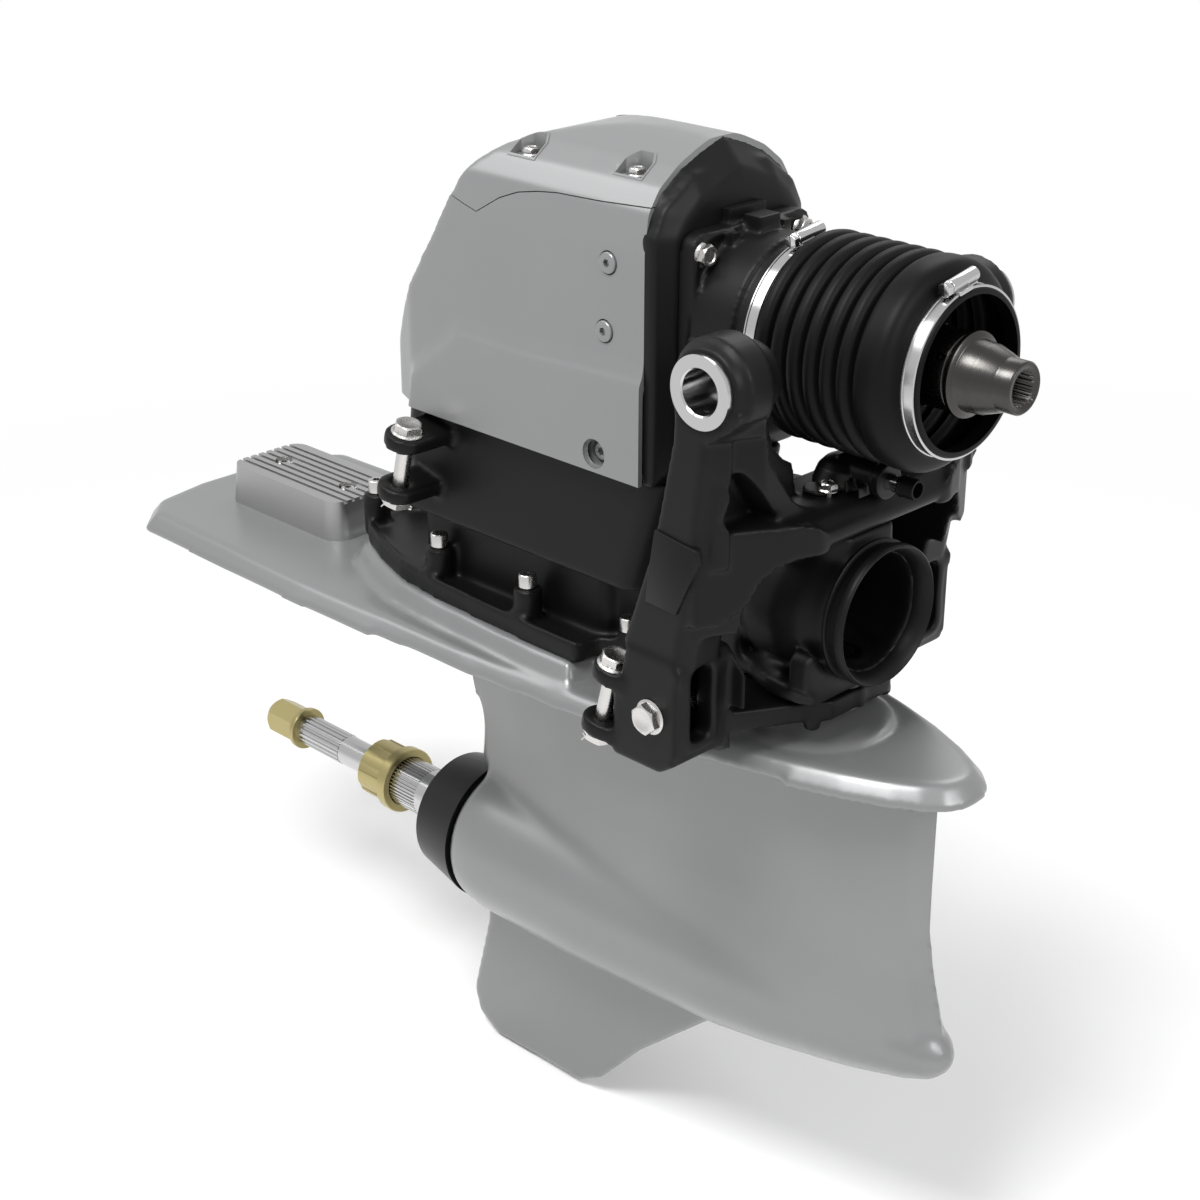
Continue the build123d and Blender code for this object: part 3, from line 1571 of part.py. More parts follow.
with BuildPart() as intermediate_housing:
    loft(
        [
            middle_section(cover_bottom_z, middle_back_x, middle_front_x - 2, middle_top_half_width, 24),
            middle_section(shoulder_z, middle_back_x - 4, -147, middle_bottom_half_width, 24),
        ],
        ruled=True,
    )
    # Neck below the shoulder, and the screw columns that stand in the troughs
    with BuildSketch(Plane.XY.offset(shoulder_z)):
        with Locations(((middle_back_x + neck_front_x) / 2, 0)):
            RectangleRounded(neck_front_x - middle_back_x, 2 * (middle_bottom_half_width - neck_inset), 20)
        with Locations(((neck_front_x - 20 - 150) / 2, 0)):
            Rectangle(-150 - neck_front_x + 20, 2 * neck_front_half)
    extrude(amount=flange_bottom_z - shoulder_z)
    with BuildSketch(Plane.XY.offset(flange_screw_z)):
        for x, y in flange_screw_places:
            with Locations((x, y), (x, -y)):
                Circle(screw_boss_width / 2)
    extrude(amount=flange_bottom_z - flange_screw_z)
    with BuildSketch(Plane.XY.offset(flange_screw_z - front_screw_drop)):
        x, y = front_screw_place
        with Locations((x, y - 4), (x, 4 - y)):
            Circle(screw_boss_width / 2 - 2)
    extrude(amount=flange_bottom_z - flange_screw_z + front_screw_drop)
    # Flange with a raised lip
    with BuildSketch(Plane.XY.offset(flange_bottom_z)):
        add(flange_outline.sketch)
    extrude(amount=flange_band_z - trough_depth - flange_bottom_z)
    with BuildSketch(Plane.XY.offset(flange_bottom_z)):
        add(flange_outline.sketch)
        offset(flange_outline.sketch, -trough_lip, mode=Mode.SUBTRACT)
    extrude(amount=flange_band_z - flange_bottom_z)
    # Nose and barrel
    with BuildSketch(Plane.XY.offset(barrel_bottom_z)):
        with BuildLine():
            Polyline((-170, 52), (-130, 52), (0, 60), (0, -60), (-130, -52), (-170, -52), close=True)
        make_face()
    extrude(amount=barrel_top_z - barrel_bottom_z)
    with BuildSketch(Plane.XY.offset(barrel_bottom_z)):
        Circle(barrel_radius)
    extrude(amount=barrel_top_z - barrel_bottom_z)
    with BuildSketch(Plane.YZ.offset(snout_front_x)):
        with Locations((0, exhaust_axis_z)):
            Rectangle(4 * barrel_radius, 4 * barrel_radius)
    extrude(amount=barrel_radius, mode=Mode.SUBTRACT)
    with BuildSketch(Plane(origin=(0, 0, exhaust_axis_z), x_dir=(0, 1, 0), z_dir=(1, 0, 0))):
        Circle(snout_radius)
    extrude(amount=snout_front_x + collar_spigot_length)
    # Ears of the steering rams
    for side in (-1, 1):
        add(ram_ears(housing_ear_x, housing_ear_y, housing_ear_z, side, housing_ear_radius, 0, -44, 40))

    # Ways for the exhaust gas
    with BuildSketch(Plane.XY.offset(cover_bottom_z - middle_wall)):
        with Locations(((middle_back_x + middle_wall + neck_front_x - middle_wall) / 2, 0)):
            RectangleRounded(
                neck_front_x - middle_back_x - 2 * middle_wall,
                2 * (middle_bottom_half_width - neck_inset - middle_wall),
                14,
            )
        with Locations((-190, 0)):
            Rectangle(60, 2 * (neck_front_half - middle_wall))
    extrude(amount=flange_bottom_z + middle_wall - cover_bottom_z + middle_wall, mode=Mode.SUBTRACT)
    with BuildSketch(Plane.XY.offset(barrel_bottom_z + kingpin_reach)):
        Circle(barrel_radius - barrel_wall)
        with Locations((-100, 0)):
            Rectangle(200, 2 * (neck_front_half - middle_wall))
        with Locations((snout_front_x - barrel_wall + barrel_radius, 0)):
            Rectangle(2 * barrel_radius, 4 * barrel_radius, mode=Mode.SUBTRACT)
    extrude(amount=barrel_top_z - barrel_bottom_z - 2 * kingpin_reach, mode=Mode.SUBTRACT)
    with BuildSketch(Plane(origin=(0, 0, exhaust_axis_z), x_dir=(0, 1, 0), z_dir=(1, 0, 0))):
        Circle(snout_radius - snout_wall)
    extrude(amount=snout_front_x + collar_spigot_length, mode=Mode.SUBTRACT)
    with BuildSketch(Plane(origin=(snout_front_x, 0, exhaust_axis_z), x_dir=(0, 1, 0), z_dir=(1, 0, 0))):
        Circle(snout_radius + 1)
        Circle(snout_radius - collar_spigot_wall, mode=Mode.SUBTRACT)
    extrude(amount=collar_spigot_length, mode=Mode.SUBTRACT)
    with BuildSketch(Plane.XY.offset(flange_bottom_z)):
        with Locations((exhaust_way_back_x + 130 - 26, 0)):
            Rectangle(52, 68)
    extrude(amount=20, mode=Mode.SUBTRACT)
    # Tube around the vertical shaft
    with BuildSketch(Plane.XY.offset(flange_bottom_z)):
        with Locations((vertical_shaft_x, 0)):
            Circle(coupling_radius + 10)
    extrude(amount=cover_bottom_z - flange_bottom_z)
    with BuildSketch(Plane.XY.offset(flange_bottom_z)):
        with Locations((vertical_shaft_x, 0)):
            Circle(coupling_radius + 3)
    extrude(amount=cover_bottom_z - flange_bottom_z, mode=Mode.SUBTRACT)
    # Kingpin bush bores
    for start, direction in ((barrel_top_z, -1), (barrel_bottom_z, 1)):
        with BuildSketch(Plane.XY.offset(start)):
            Circle(kingpin_boss_radius)
        extrude(amount=direction * kingpin_reach)
        with BuildSketch(Plane.XY.offset(start)):
            Circle(kingpin_bush_radius)
        extrude(amount=direction * (kingpin_reach + 1), mode=Mode.SUBTRACT)
    # Bores of ram pins and flange screws
    for side in (-1, 1):
        add(ram_pin_bore(housing_ear_x, housing_ear_y, housing_ear_z, side), mode=Mode.SUBTRACT)
    with BuildSketch(Plane.XY.offset(flange_bottom_z)):
        for x, y in flange_screw_places + (front_screw_place,):
            with Locations((x, y), (x, -y)):
                Circle(shank_share * cap_screw_radius)
    extrude(amount=flange_screw_z - flange_bottom_z, mode=Mode.SUBTRACT)
intermediate_housing.part.label = "intermediate_housing"
export_step(intermediate_housing.part, "parts/intermediate_housing.step")

with BuildPart() as flange_cap_screws:
    for x, y in flange_screw_places + (front_screw_place,):
        drop = front_screw_drop if (x, y) == front_screw_place else 0
        for side in (-1, 1):
            seat = Plane(origin=(x, side * y, flange_screw_z - drop))
            add(cap_screw(seat, cap_screw_radius, cap_screw_height, flange_screw_z - drop - flange_bottom_z))
flange_cap_screws.part.label = "flange_cap_screws"
export_step(flange_cap_screws.part, "parts/flange_cap_screws.step")

# Hose collar on the snout
collar_groove_start_x = collar_front_x - collar_lip_length - collar_groove_length
with BuildPart() as exhaust_collar:
    with BuildSketch(Plane.XZ):
        with BuildLine():
            Polyline(
                (snout_front_x, exhaust_axis_z + snout_radius - collar_spigot_wall),
                (snout_front_x, exhaust_axis_z + collar_lip_radius),
                (collar_groove_start_x, exhaust_axis_z + collar_lip_radius),
                (collar_groove_start_x, exhaust_axis_z + collar_groove_radius),
                (collar_front_x - collar_lip_length, exhaust_axis_z + collar_groove_radius),
                (collar_front_x - collar_lip_length, exhaust_axis_z + collar_lip_radius),
                (collar_front_x - 2, exhaust_axis_z + collar_lip_radius),
                (collar_front_x, exhaust_axis_z + collar_lip_radius - 2),
                (collar_front_x - 5, exhaust_axis_z + snout_radius - snout_wall),
                (snout_front_x + collar_spigot_length, exhaust_axis_z + snout_radius - snout_wall),
                (snout_front_x + collar_spigot_length, exhaust_axis_z + snout_radius - collar_spigot_wall),
                close=True,
            )
        make_face()
    revolve(axis=Axis((0, 0, exhaust_axis_z), (1, 0, 0)))
exhaust_collar.part.label = "exhaust_collar"
export_step(exhaust_collar.part, "parts/exhaust_collar.step")


# Outlines of the upper housing and its covers
def frame_outline(inset):
    half = frame_half_width - inset
    with BuildSketch() as outline:
        with BuildLine():
            Polyline(
                (-half, cover_bottom_z + inset),
                (-half, 72),
                (-half + 12, 94 - inset / 2),
                (-44, frame_crest_z - 6 - inset),
                (0, frame_crest_z - inset),
                (44, frame_crest_z - 6 - inset),
                (half - 12, 94 - inset / 2),
                (half, 72),
                (half, cover_bottom_z + inset),
                close=True,
            )
        make_face()
    return outline.sketch


def cowl_side(inset):
    with BuildSketch() as outline:
        with BuildLine():
            Polyline(
                (-478, cover_bottom_z),
                (-395, 20),
                (-370, 63),
                (-352, 92),
                (-324, 111),
                (-278, 129),
                (-229, 137),
                (-163, 140),
                (frame_front_x - 2, 136),
                (frame_front_x - 2, cover_bottom_z),
                close=True,
            )
        make_face()
        if inset:
            offset(amount=-inset, mode=Mode.REPLACE)
    return outline.sketch


def cowl_front(inset):
    half = cover_half_width - inset
    with BuildSketch() as outline:
        with BuildLine():
            Polyline(
                (-half, cover_bottom_z - 10),
                (-half, 74 - inset / 2),
                (-half + 5, 92 - inset / 2),
                (-58, 118 - inset),
                (-30, 132 - inset),
                (0, 141 - inset),
                (30, 132 - inset),
                (58, 118 - inset),
                (half - 5, 92 - inset / 2),
                (half, 74 - inset / 2),
                (half, cover_bottom_z - 10),
                close=True,
            )
        make_face()
    return outline.sketch


def cowl_plan(inset):
    with BuildSketch() as outline:
        with BuildLine():
            Polyline(
                (-100, -cover_half_width + inset),
                (-420, -cover_half_width + inset),
                (-455, -74 + inset),
                (-480 + inset, -44),
                (-480 + inset, 44),
                (-455, 74 - inset),
                (-420, cover_half_width - inset),
                (-100, cover_half_width - inset),
                close=True,
            )
        make_face()
    return outline.sketch


def cowl_body(inset):
    with BuildPart() as body:
        with BuildSketch(Plane.XZ.offset(-100)):
            add(cowl_side(inset))
        extrude(amount=200)
        with BuildSketch(Plane.YZ.offset(-500)):
            add(cowl_front(inset))
        extrude(amount=420, mode=Mode.INTERSECT)
        with BuildSketch(Plane.XY.offset(cover_bottom_z - 10)):
            add(cowl_plan(inset))
        extrude(amount=320, mode=Mode.INTERSECT)
    return body.part


with BuildPart() as cowl_shell:
    add(cowl_body(0))
    add(cowl_body(cover_wall), mode=Mode.SUBTRACT)
    # Open underneath, where the intermediate housing closes it
    with BuildSketch(Plane.XY.offset(cover_bottom_z)):
        Rectangle(1200, 2 * (cover_half_width - cover_wall))
    extrude(amount=cover_wall, mode=Mode.SUBTRACT)


# Region of the top cover above the seam line
def above_seam(shift):
    with BuildPart() as region:
        with BuildSketch(Plane.XZ.offset(-100)):
            with BuildLine():
                Polyline(
                    (-100, seam_front_z + shift),
                    (-235, seam_front_z - 2 + shift),
                    (-294, 80 + shift),
                    (-330, 60 + shift),
                    (-420, 56 + shift),
                    (-420, 160),
                    (-100, 160),
                    close=True,
                )
            make_face()
        extrude(amount=200)
    return region.part



with BuildPart() as side_trim:
    with BuildSketch(Plane.XZ.offset(-100)):
        with BuildLine():
            Polyline(
                (-500, cover_bottom_z - 5),
                (-500, 160),
                (cover_front_x, 160),
                (cover_front_x, cover_bottom_z - 5),
                close=True,
            )
        make_face()
    extrude(amount=200)

side_screw_places = ((-179.0, 44.0), (-181.0, -12.0), (-191.0, -121.0))
side_pad_y = 76.0
side_pad_radius = 12.0
screw_recess_radius = 10.0
cover_screw_shank = 4.0
top_bolt_places = ((-294.0, 60.0), (-176.0, 57.0))
top_pocket_z = 102.0
pocket_radius = 11.0


def side_plane(side, y):
    return Plane(origin=(0, side * y, 0), x_dir=(1, 0, 0), z_dir=(0, -side, 0))


def side_spots(side, places):
    return [(x, side * z) for x, z in places]


def side_cover(side):
    with BuildPart() as cover:
        add(cowl_shell.part)
        add(above_seam(0), mode=Mode.SUBTRACT)
        add(side_trim.part, mode=Mode.INTERSECT)
        with BuildSketch(side_plane(side, side_pad_y)):
            with Locations(*side_spots(side, side_screw_places)):
                Circle(side_pad_radius)
        extrude(amount=-(cover_half_width - side_pad_y))
        with BuildSketch(side_plane(side, cover_half_width)):
            with Locations(*side_spots(side, side_screw_places)):
                Circle(screw_recess_radius)
        extrude(amount=recess_depth, mode=Mode.SUBTRACT)
        with BuildSketch(side_plane(side, cover_half_width)):
            with Locations(*side_spots(side, side_screw_places)):
                Circle(shank_share * cover_screw_radius)
        extrude(amount=20, mode=Mode.SUBTRACT)
        with BuildSketch(Plane.XY.offset(cover_bottom_z - 20)):
            with Locations((-300, -side * 100)):
                Rectangle(600, 2 * (100 + joint_gap / 2))
        extrude(amount=400, mode=Mode.SUBTRACT)
    return cover.part


for side_name, side in (("starboard", -1), ("port", 1)):
    cover = side_cover(side)
    cover.label = f"side_cover_{side_name}"
    export_step(cover, f"parts/side_cover_{side_name}.step")

with BuildPart() as top_cover:
    add(cowl_shell.part)
    add(above_seam(joint_gap), mode=Mode.INTERSECT)
    with BuildSketch(Plane.YZ.offset(cover_front_x)):
        add(frame_outline(-seal_gap))
    extrude(amount=60, mode=Mode.SUBTRACT)
    for x, y in top_bolt_places:
        for at in (y, -y):
            with BuildSketch(Plane.XY.offset(core_top_z)):
                with Locations((x, at)):
                    Circle(pocket_radius + 2)
            extrude(amount=20)
    with BuildSketch(Plane.XY.offset(top_pocket_z)):
        for x, y in top_bolt_places:
            with Locations((x, y), (x, -y)):
                Circle(pocket_radius)
    extrude(amount=60, mode=Mode.SUBTRACT)
    with BuildSketch(Plane.XY.offset(core_top_z)):
        for x, y in top_bolt_places:
            with Locations((x, y), (x, -y)):
                Circle(cover_screw_shank)
    extrude(amount=60, mode=Mode.SUBTRACT)
top_cover.part.label = "top_cover"
export_step(top_cover.part, "parts/top_cover.step")

with BuildPart() as side_cover_screws:
    for side in (-1, 1):
        for x, z in side_screw_places:
            seat = Plane(
                origin=(x, side * (cover_half_width - recess_depth), z),
                x_dir=(1, 0, 0),
                z_dir=(0, side, 0),
            )
            add(cap_screw(seat, cover_screw_radius, recess_depth - 0.5, 20))
side_cover_screws.part.label = "side_cover_screws"
export_step(side_cover_screws.part, "parts/side_cover_screws.step")

with BuildPart() as top_cover_bolts:
    for x, y in top_bolt_places:
        for at in (y, -y):
            add(flange_bolt(Plane(origin=(x, at, top_pocket_z)), cover_screw_shank, 22))
top_cover_bolts.part.label = "top_cover_bolts"
export_step(top_cover_bolts.part, "parts/top_cover_bolts.step")

# Upper gear housing: the black casting under the covers, with its bevelled front frame
driven_seat_z = driven_back_z - driven_bearing_width - 3
cover_bolt_places = ((58.0, 60.0), (58.0, -60.0))
with BuildPart() as upper_gear_housing:
    with BuildSketch(Plane.XZ.offset(-core_half_width)):
        with BuildLine():
            Polyline(
                (cover_front_x, cover_bottom_z),
                (cover_front_x, core_top_z),
                (-325, core_top_z),
                (-348, 80),
                (core_back_x, 50),
                (core_back_x, cover_bottom_z),
                close=True,
            )
        make_face()
    extrude(amount=2 * core_half_width)
    with BuildSketch(Plane.YZ.offset(cover_front_x)):
        add(frame_outline(0))
    extrude(amount=frame_front_x - frame_bevel_depth - cover_front_x)
    with BuildSketch(Plane.YZ.offset(frame_front_x - frame_bevel_depth)):
        add(frame_outline(0))
    with BuildSketch(Plane.YZ.offset(frame_front_x)):
        add(frame_outline(frame_bevel))
    loft(ruled=True)
    for side in (-1, 1):
        with BuildSketch(side_plane(side, side_pad_y)):
            with Locations(*side_spots(side, side_screw_places)):
                Circle(side_pad_radius - 2)
        extrude(amount=side_pad_y - core_half_width)
    # Gear chamber, bearing seats and shaft bores
    for bottom, top, radius in (
        (-driven_seat_z, core_top_z, chamber_radius),
        (-driven_back_z, -driven_seat_z, driven_bearing_radius),
        (-shaft_top_z, -driven_back_z, top_bearing_radius),
        (cover_bottom_z, -shaft_top_z, vertical_shaft_radius + 2),
    ):
        with BuildSketch(Plane.XY.offset(bottom)):
            with Locations((vertical_shaft_x, 0)):
                Circle(radius)
        extrude(amount=top - bottom, mode=Mode.SUBTRACT)
    with BuildSketch(Plane.YZ.offset(frame_front_x)):
        Circle(pinion_bearing_radius)
    extrude(amount=vertical_shaft_x + 30 - frame_front_x, mode=Mode.SUBTRACT)
    with BuildSketch(Plane.YZ.offset(core_back_x + 0.5)):
        Rectangle(2 * shoe_rod_radius + 1, 2 * (shoe_rod_radius + clutch_travel) + 1)
    extrude(amount=40, mode=Mode.SUBTRACT)
    # Bolt holes
    for x, y in top_bolt_places:
        with BuildSketch(Plane.XY.offset(core_top_z)):
            with Locations((x, y), (x, -y)):
                Circle(cover_screw_shank)
        extrude(amount=-(22 - top_pocket_z + core_top_z), mode=Mode.SUBTRACT)
    for side in (-1, 1):
        with BuildSketch(side_plane(side, side_pad_y)):
            with Locations(*side_spots(side, side_screw_places)):
                Circle(shank_share * cover_screw_radius)
        extrude(amount=20 - cover_half_width + recess_depth + side_pad_y, mode=Mode.SUBTRACT)
    with BuildSketch(Plane.YZ.offset(frame_front_x)):
        for y, z in cover_bolt_places:
            with Locations((y, z), (-y, z)):
                Circle(frame_bolt_radius)
    extrude(amount=-14, mode=Mode.SUBTRACT)
upper_gear_housing.part.label = "upper_gear_housing"
export_step(upper_gear_housing.part, "parts/upper_gear_housing.step")

cover_disc_front_x = frame_front_x + cover_disc_thickness
neck_radius = bellows_back_radius - bellows_wall - seal_gap
with BuildPart() as bearing_cover:
    with BuildSketch(Plane.YZ.offset(frame_front_x)):
        RectangleRounded(2 * cover_plate_half_width, 2 * cover_plate_half_height, cover_plate_corner)
    extrude(amount=cover_disc_thickness)
    with BuildSketch(Plane.YZ.offset(frame_front_x)):
        Rectangle(2 * cover_bump_half_width, 2 * cover_bump_top_z)
    extrude(amount=cover_bump_thickness)
    for end_x, radius in ((neck_collar_end_x, neck_collar_radius), (neck_tip_x, neck_radius)):
        with BuildSketch(Plane.YZ.offset(cover_disc_front_x)):
            Circle(radius)
            Circle(neck_bore_radius, mode=Mode.SUBTRACT)
        extrude(amount=end_x - cover_disc_front_x)
    with BuildSketch(Plane.YZ.offset(cover_disc_front_x)):
        Circle(input_seal_radius + 5)
        Circle(input_seal_radius, mode=Mode.SUBTRACT)
    extrude(amount=input_seal_back_x + seal_width - cover_disc_front_x)
    with BuildSketch(Plane.YZ.offset(input_seal_back_x)):
        Circle(input_seal_radius)
    extrude(amount=20, mode=Mode.SUBTRACT)
    with BuildSketch(Plane.YZ.offset(frame_front_x)):
        Circle(pinion_shaft_radius + 3)
        for y, z in cover_bolt_places:
            with Locations((y, z), (-y, z)):
                Circle(frame_bolt_radius)
    extrude(amount=cover_disc_thickness + 10, mode=Mode.SUBTRACT)
bearing_cover.part.label = "bearing_cover"
export_step(bearing_cover.part, "parts/bearing_cover.step")

with BuildPart() as housing_bolts:
    for y, z in cover_bolt_places:
        for at in (y, -y):
            seat = Plane(origin=(cover_disc_front_x, at, z), x_dir=(0, 1, 0), z_dir=(1, 0, 0))
            add(flange_bolt(seat, frame_bolt_radius, cover_disc_thickness + 14))
housing_bolts.part.label = "housing_bolts"
export_step(housing_bolts.part, "parts/housing_bolts.step")

# Top cap, which holds the upper driven gear's bearing and the shaft's top bearing
with BuildPart() as top_cap:
    with BuildSketch(Plane.XY.offset(driven_seat_z)):
        with Locations((vertical_shaft_x, 0)):
            Circle(chamber_radius)
    extrude(amount=top_cap_z - driven_seat_z)
    for start, end, radius in (
        (driven_seat_z, driven_back_z, driven_bearing_radius),
        (driven_back_z, shaft_top_z + 2, top_bearing_radius),
    ):
        with BuildSketch(Plane.XY.offset(start)):
            with Locations((vertical_shaft_x, 0)):
                Circle(radius)
        extrude(amount=end - start, mode=Mode.SUBTRACT)
top_cap.part.label = "top_cap"
export_step(top_cap.part, "parts/top_cap.step")


# Drive-shaft bellows with its necks and band clamps
def bellows_wave(shift):
    wave = [(bellows_back_x, bellows_back_radius - shift)]
    for index in range(bellows_crests):
        crest_x = bellows_first_crest_x + index * bellows_pitch
        wave.append((crest_x, bellows_crest_radius - shift))
        wave.append((crest_x + bellows_pitch / 2, bellows_root_radius - shift))
    wave.append((wave[-1][0] + bellows_pitch / 2, bellows_crest_radius - shift))
    return wave


with BuildPart() as bellows:
    with BuildSketch(Plane.XZ):
        with BuildLine():
            for shift in (0, bellows_wall):
                wave = bellows_wave(shift)
                back = (bellows_back_x - bellows_back_neck, bellows_back_radius - shift)
                shoulder = (bellows_shoulder_x, bellows_crest_radius - shift)
                front = (bellows_front_x, bellows_front_radius - shift)
                Line(back, wave[0])
                Spline(*wave, tangents=((1, 0), (1, 0)), tangent_scalars=(1, 1))
                Line(wave[-1], shoulder)
                ThreePointArc(shoulder, (bellows_front_x - 3, bellows_crest_radius - 7 - shift), front)
                Line(front, (bellows_front_x + bellows_front_neck, front[1]))
            for x, radius in (
                (bellows_back_x - bellows_back_neck, bellows_back_radius),
                (bellows_front_x + bellows_front_neck, bellows_front_radius),
            ):
                Line((x, radius), (x, radius - bellows_wall))
        make_face()
    revolve(axis=Axis.X)
bellows.part.label = "bellows"
export_step(bellows.part, "parts/bellows.step")


def band_clamp(middle_x, radius, screw_angle):
    inner = radius + seal_gap / 3
    with BuildPart() as clamp:
        with BuildSketch(Plane.YZ.offset(middle_x - clamp_band_width / 2)):
            Circle(inner + clamp_band_thickness)
            Circle(inner, mode=Mode.SUBTRACT)
        extrude(amount=clamp_band_width)
        with BuildSketch(Plane.YZ.offset(middle_x - clamp_band_width / 2)):
            with Locations((0, inner + clamp_band_thickness + clamp_screw_radius - 0.5)):
                Rectangle(clamp_screw_length - 8, 2 * clamp_screw_radius + 1)
        extrude(amount=clamp_band_width)
        with BuildSketch(Plane.XZ.offset(-clamp_screw_length / 2)):
            with Locations((middle_x, inner + clamp_band_thickness + clamp_screw_radius)):
                Circle(clamp_screw_radius)
        extrude(amount=clamp_screw_length)
    return clamp.part.rotate(Axis.X, screw_angle)


bellows_clamp_aft = band_clamp(bellows_back_x - bellows_back_neck / 2 - 1, bellows_back_radius, -20)
bellows_clamp_aft.label = "bellows_clamp_aft"
export_step(bellows_clamp_aft, "parts/bellows_clamp_aft.step")

bellows_clamp_front = band_clamp(bellows_front_x + bellows_front_neck / 2, bellows_front_radius, 40)
bellows_clamp_front.label = "bellows_clamp_front"
export_step(bellows_clamp_front, "parts/bellows_clamp_front.step")
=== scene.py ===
import json
import math

import bpy
from mathutils import Matrix, Vector


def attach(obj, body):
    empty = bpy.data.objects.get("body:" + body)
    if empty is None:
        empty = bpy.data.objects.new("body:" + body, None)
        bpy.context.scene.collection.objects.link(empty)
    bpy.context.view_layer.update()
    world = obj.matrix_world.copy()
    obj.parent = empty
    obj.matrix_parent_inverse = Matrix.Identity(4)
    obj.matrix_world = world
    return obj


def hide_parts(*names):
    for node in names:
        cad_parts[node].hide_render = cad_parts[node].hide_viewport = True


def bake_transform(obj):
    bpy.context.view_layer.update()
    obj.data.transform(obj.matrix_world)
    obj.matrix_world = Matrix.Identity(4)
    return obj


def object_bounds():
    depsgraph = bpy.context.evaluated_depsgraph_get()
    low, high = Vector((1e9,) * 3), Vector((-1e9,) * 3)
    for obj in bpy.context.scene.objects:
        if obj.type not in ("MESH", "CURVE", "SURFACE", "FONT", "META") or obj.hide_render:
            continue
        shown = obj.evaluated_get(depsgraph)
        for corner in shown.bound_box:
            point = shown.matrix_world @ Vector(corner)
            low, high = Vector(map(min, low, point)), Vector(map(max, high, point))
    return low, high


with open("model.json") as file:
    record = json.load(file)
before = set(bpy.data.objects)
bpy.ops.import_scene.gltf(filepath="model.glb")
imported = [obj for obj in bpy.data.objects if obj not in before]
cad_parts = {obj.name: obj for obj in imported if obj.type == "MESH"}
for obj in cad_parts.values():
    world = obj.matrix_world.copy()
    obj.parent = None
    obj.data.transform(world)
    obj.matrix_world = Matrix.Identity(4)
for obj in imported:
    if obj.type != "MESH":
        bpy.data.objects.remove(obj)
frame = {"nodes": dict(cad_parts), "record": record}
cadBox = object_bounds()
print("CAD model loaded")

# Everything below is in metres: +X forward, +Y port, +Z up.
# The trim, steering and input axes cross at the origin.
far = 1.0  # beyond every piece, for cutting tools


# Camera, at the photograph's angle
cameraSettings = {
    "place": (1.0355, -1.3104, 0.5202),
    "forward": (-0.6460, 0.6460, -0.4067),
    "lens": 67.11,
    "sensor": 36.0,
}


def setUpCamera(settings):
    turn = Vector(settings["forward"]).to_track_quat("-Z", "Y").to_euler()
    bpy.ops.object.camera_add(location=settings["place"], rotation=turn)
    camera = bpy.context.object
    camera.name = "camera"
    camera.data.lens = settings["lens"]
    camera.data.sensor_width = settings["sensor"]
    camera.data.clip_end = 20
    bpy.context.scene.camera = camera


setUpCamera(cameraSettings)


# Shader maths: a wire stands for one output socket
class Wire:
    def __init__(self, paint, socket):
        self.paint = paint
        self.socket = socket

    def __add__(self, other):
        return self.paint.node("ShaderNodeMath", {"operation": "ADD"}, {0: self, 1: other})

    def __mul__(self, other):
        return self.paint.node("ShaderNodeMath", {"operation": "MULTIPLY"}, {0: self, 1: other})

    __radd__ = __add__
    __rmul__ = __mul__


class Paint:
    def __init__(self, name):
        self.material = bpy.data.materials.new(name)
        self.material.use_nodes = True
        self.nodes = self.material.node_tree.nodes
        self.links = self.material.node_tree.links
        self.shader = self.nodes["Principled BSDF"]

    def node(self, kind, settings=None, plugs=None, out=0):
        made = self.nodes.new(kind)
        for key, value in (settings or {}).items():
            if key == "stops":
                stops = made.color_ramp.elements
                for index, (place, colour) in enumerate(value):
                    stop = stops[index] if index < len(stops) else stops.new(place)
                    stop.position = place
                    stop.color = colour
            else:
                setattr(made, key, value)
        for key, value in (plugs or {}).items():
            self.feed(made.inputs[key], value)
        return Wire(self, made.outputs[out])

    def feed(self, socket, value):
        if isinstance(value, Wire):
            self.links.new(value.socket, socket)
        else:
            socket.default_value = value

    def set(self, **values):
        for key, value in values.items():
            self.feed(self.shader.inputs[key.replace("_", " ")], value)
        return self

    def place(self):
        return self.node("ShaderNodeTexCoord", out=3)

    def noise(self, scale, detail=2.0, rough=0.5, stretch=None):
        vector = self.place()
        if stretch:
            vector = self.node("ShaderNodeMapping", {}, {"Vector": vector, "Scale": stretch})
        plugs = {"Vector": vector, "Scale": scale, "Detail": detail, "Roughness": rough}
        return self.node("ShaderNodeTexNoise", {}, plugs)

    def mix(self, low, high, share):
        plugs = {0: share, 6: low, 7: high}
        return self.node("ShaderNodeMix", {"data_type": "RGBA"}, plugs, out=2)

    def bump(self, height, strength, distance):
        plugs = {"Height": height, "Strength": strength, "Distance": distance}
        return self.node("ShaderNodeBump", {}, plugs)


def shade(level, warmth=0.0):
    return (level * (1 + warmth), level, level * (1 - warmth), 1)


def silverPaint():
    paint = Paint("silver_paint")
    flake = paint.noise(2600, 2)
    cloud = paint.noise(9, 3)
    paint.set(
        Base_Color=paint.mix(shade(0.205, -0.01), shade(0.225, -0.01), cloud),
        Metallic=0.3,
        Roughness=flake * 0.1 + 0.27,
        Normal=paint.bump(flake, 0.05, 0.0002),
    )
    paint.set(Coat_Weight=0.25, Coat_Roughness=0.25)
    return paint.material


def blackCasting():
    paint = Paint("black_casting")
    grain = paint.noise(900, 4, 0.6)
    cloud = paint.noise(14, 3)
    paint.set(
        Base_Color=paint.mix(shade(0.0035), shade(0.0050), cloud),
        Roughness=cloud * 0.1 + 0.38,
        Normal=paint.bump(grain, 0.12, 0.0004),
    )
    paint.set(Specular_IOR_Level=0.17)
    return paint.material


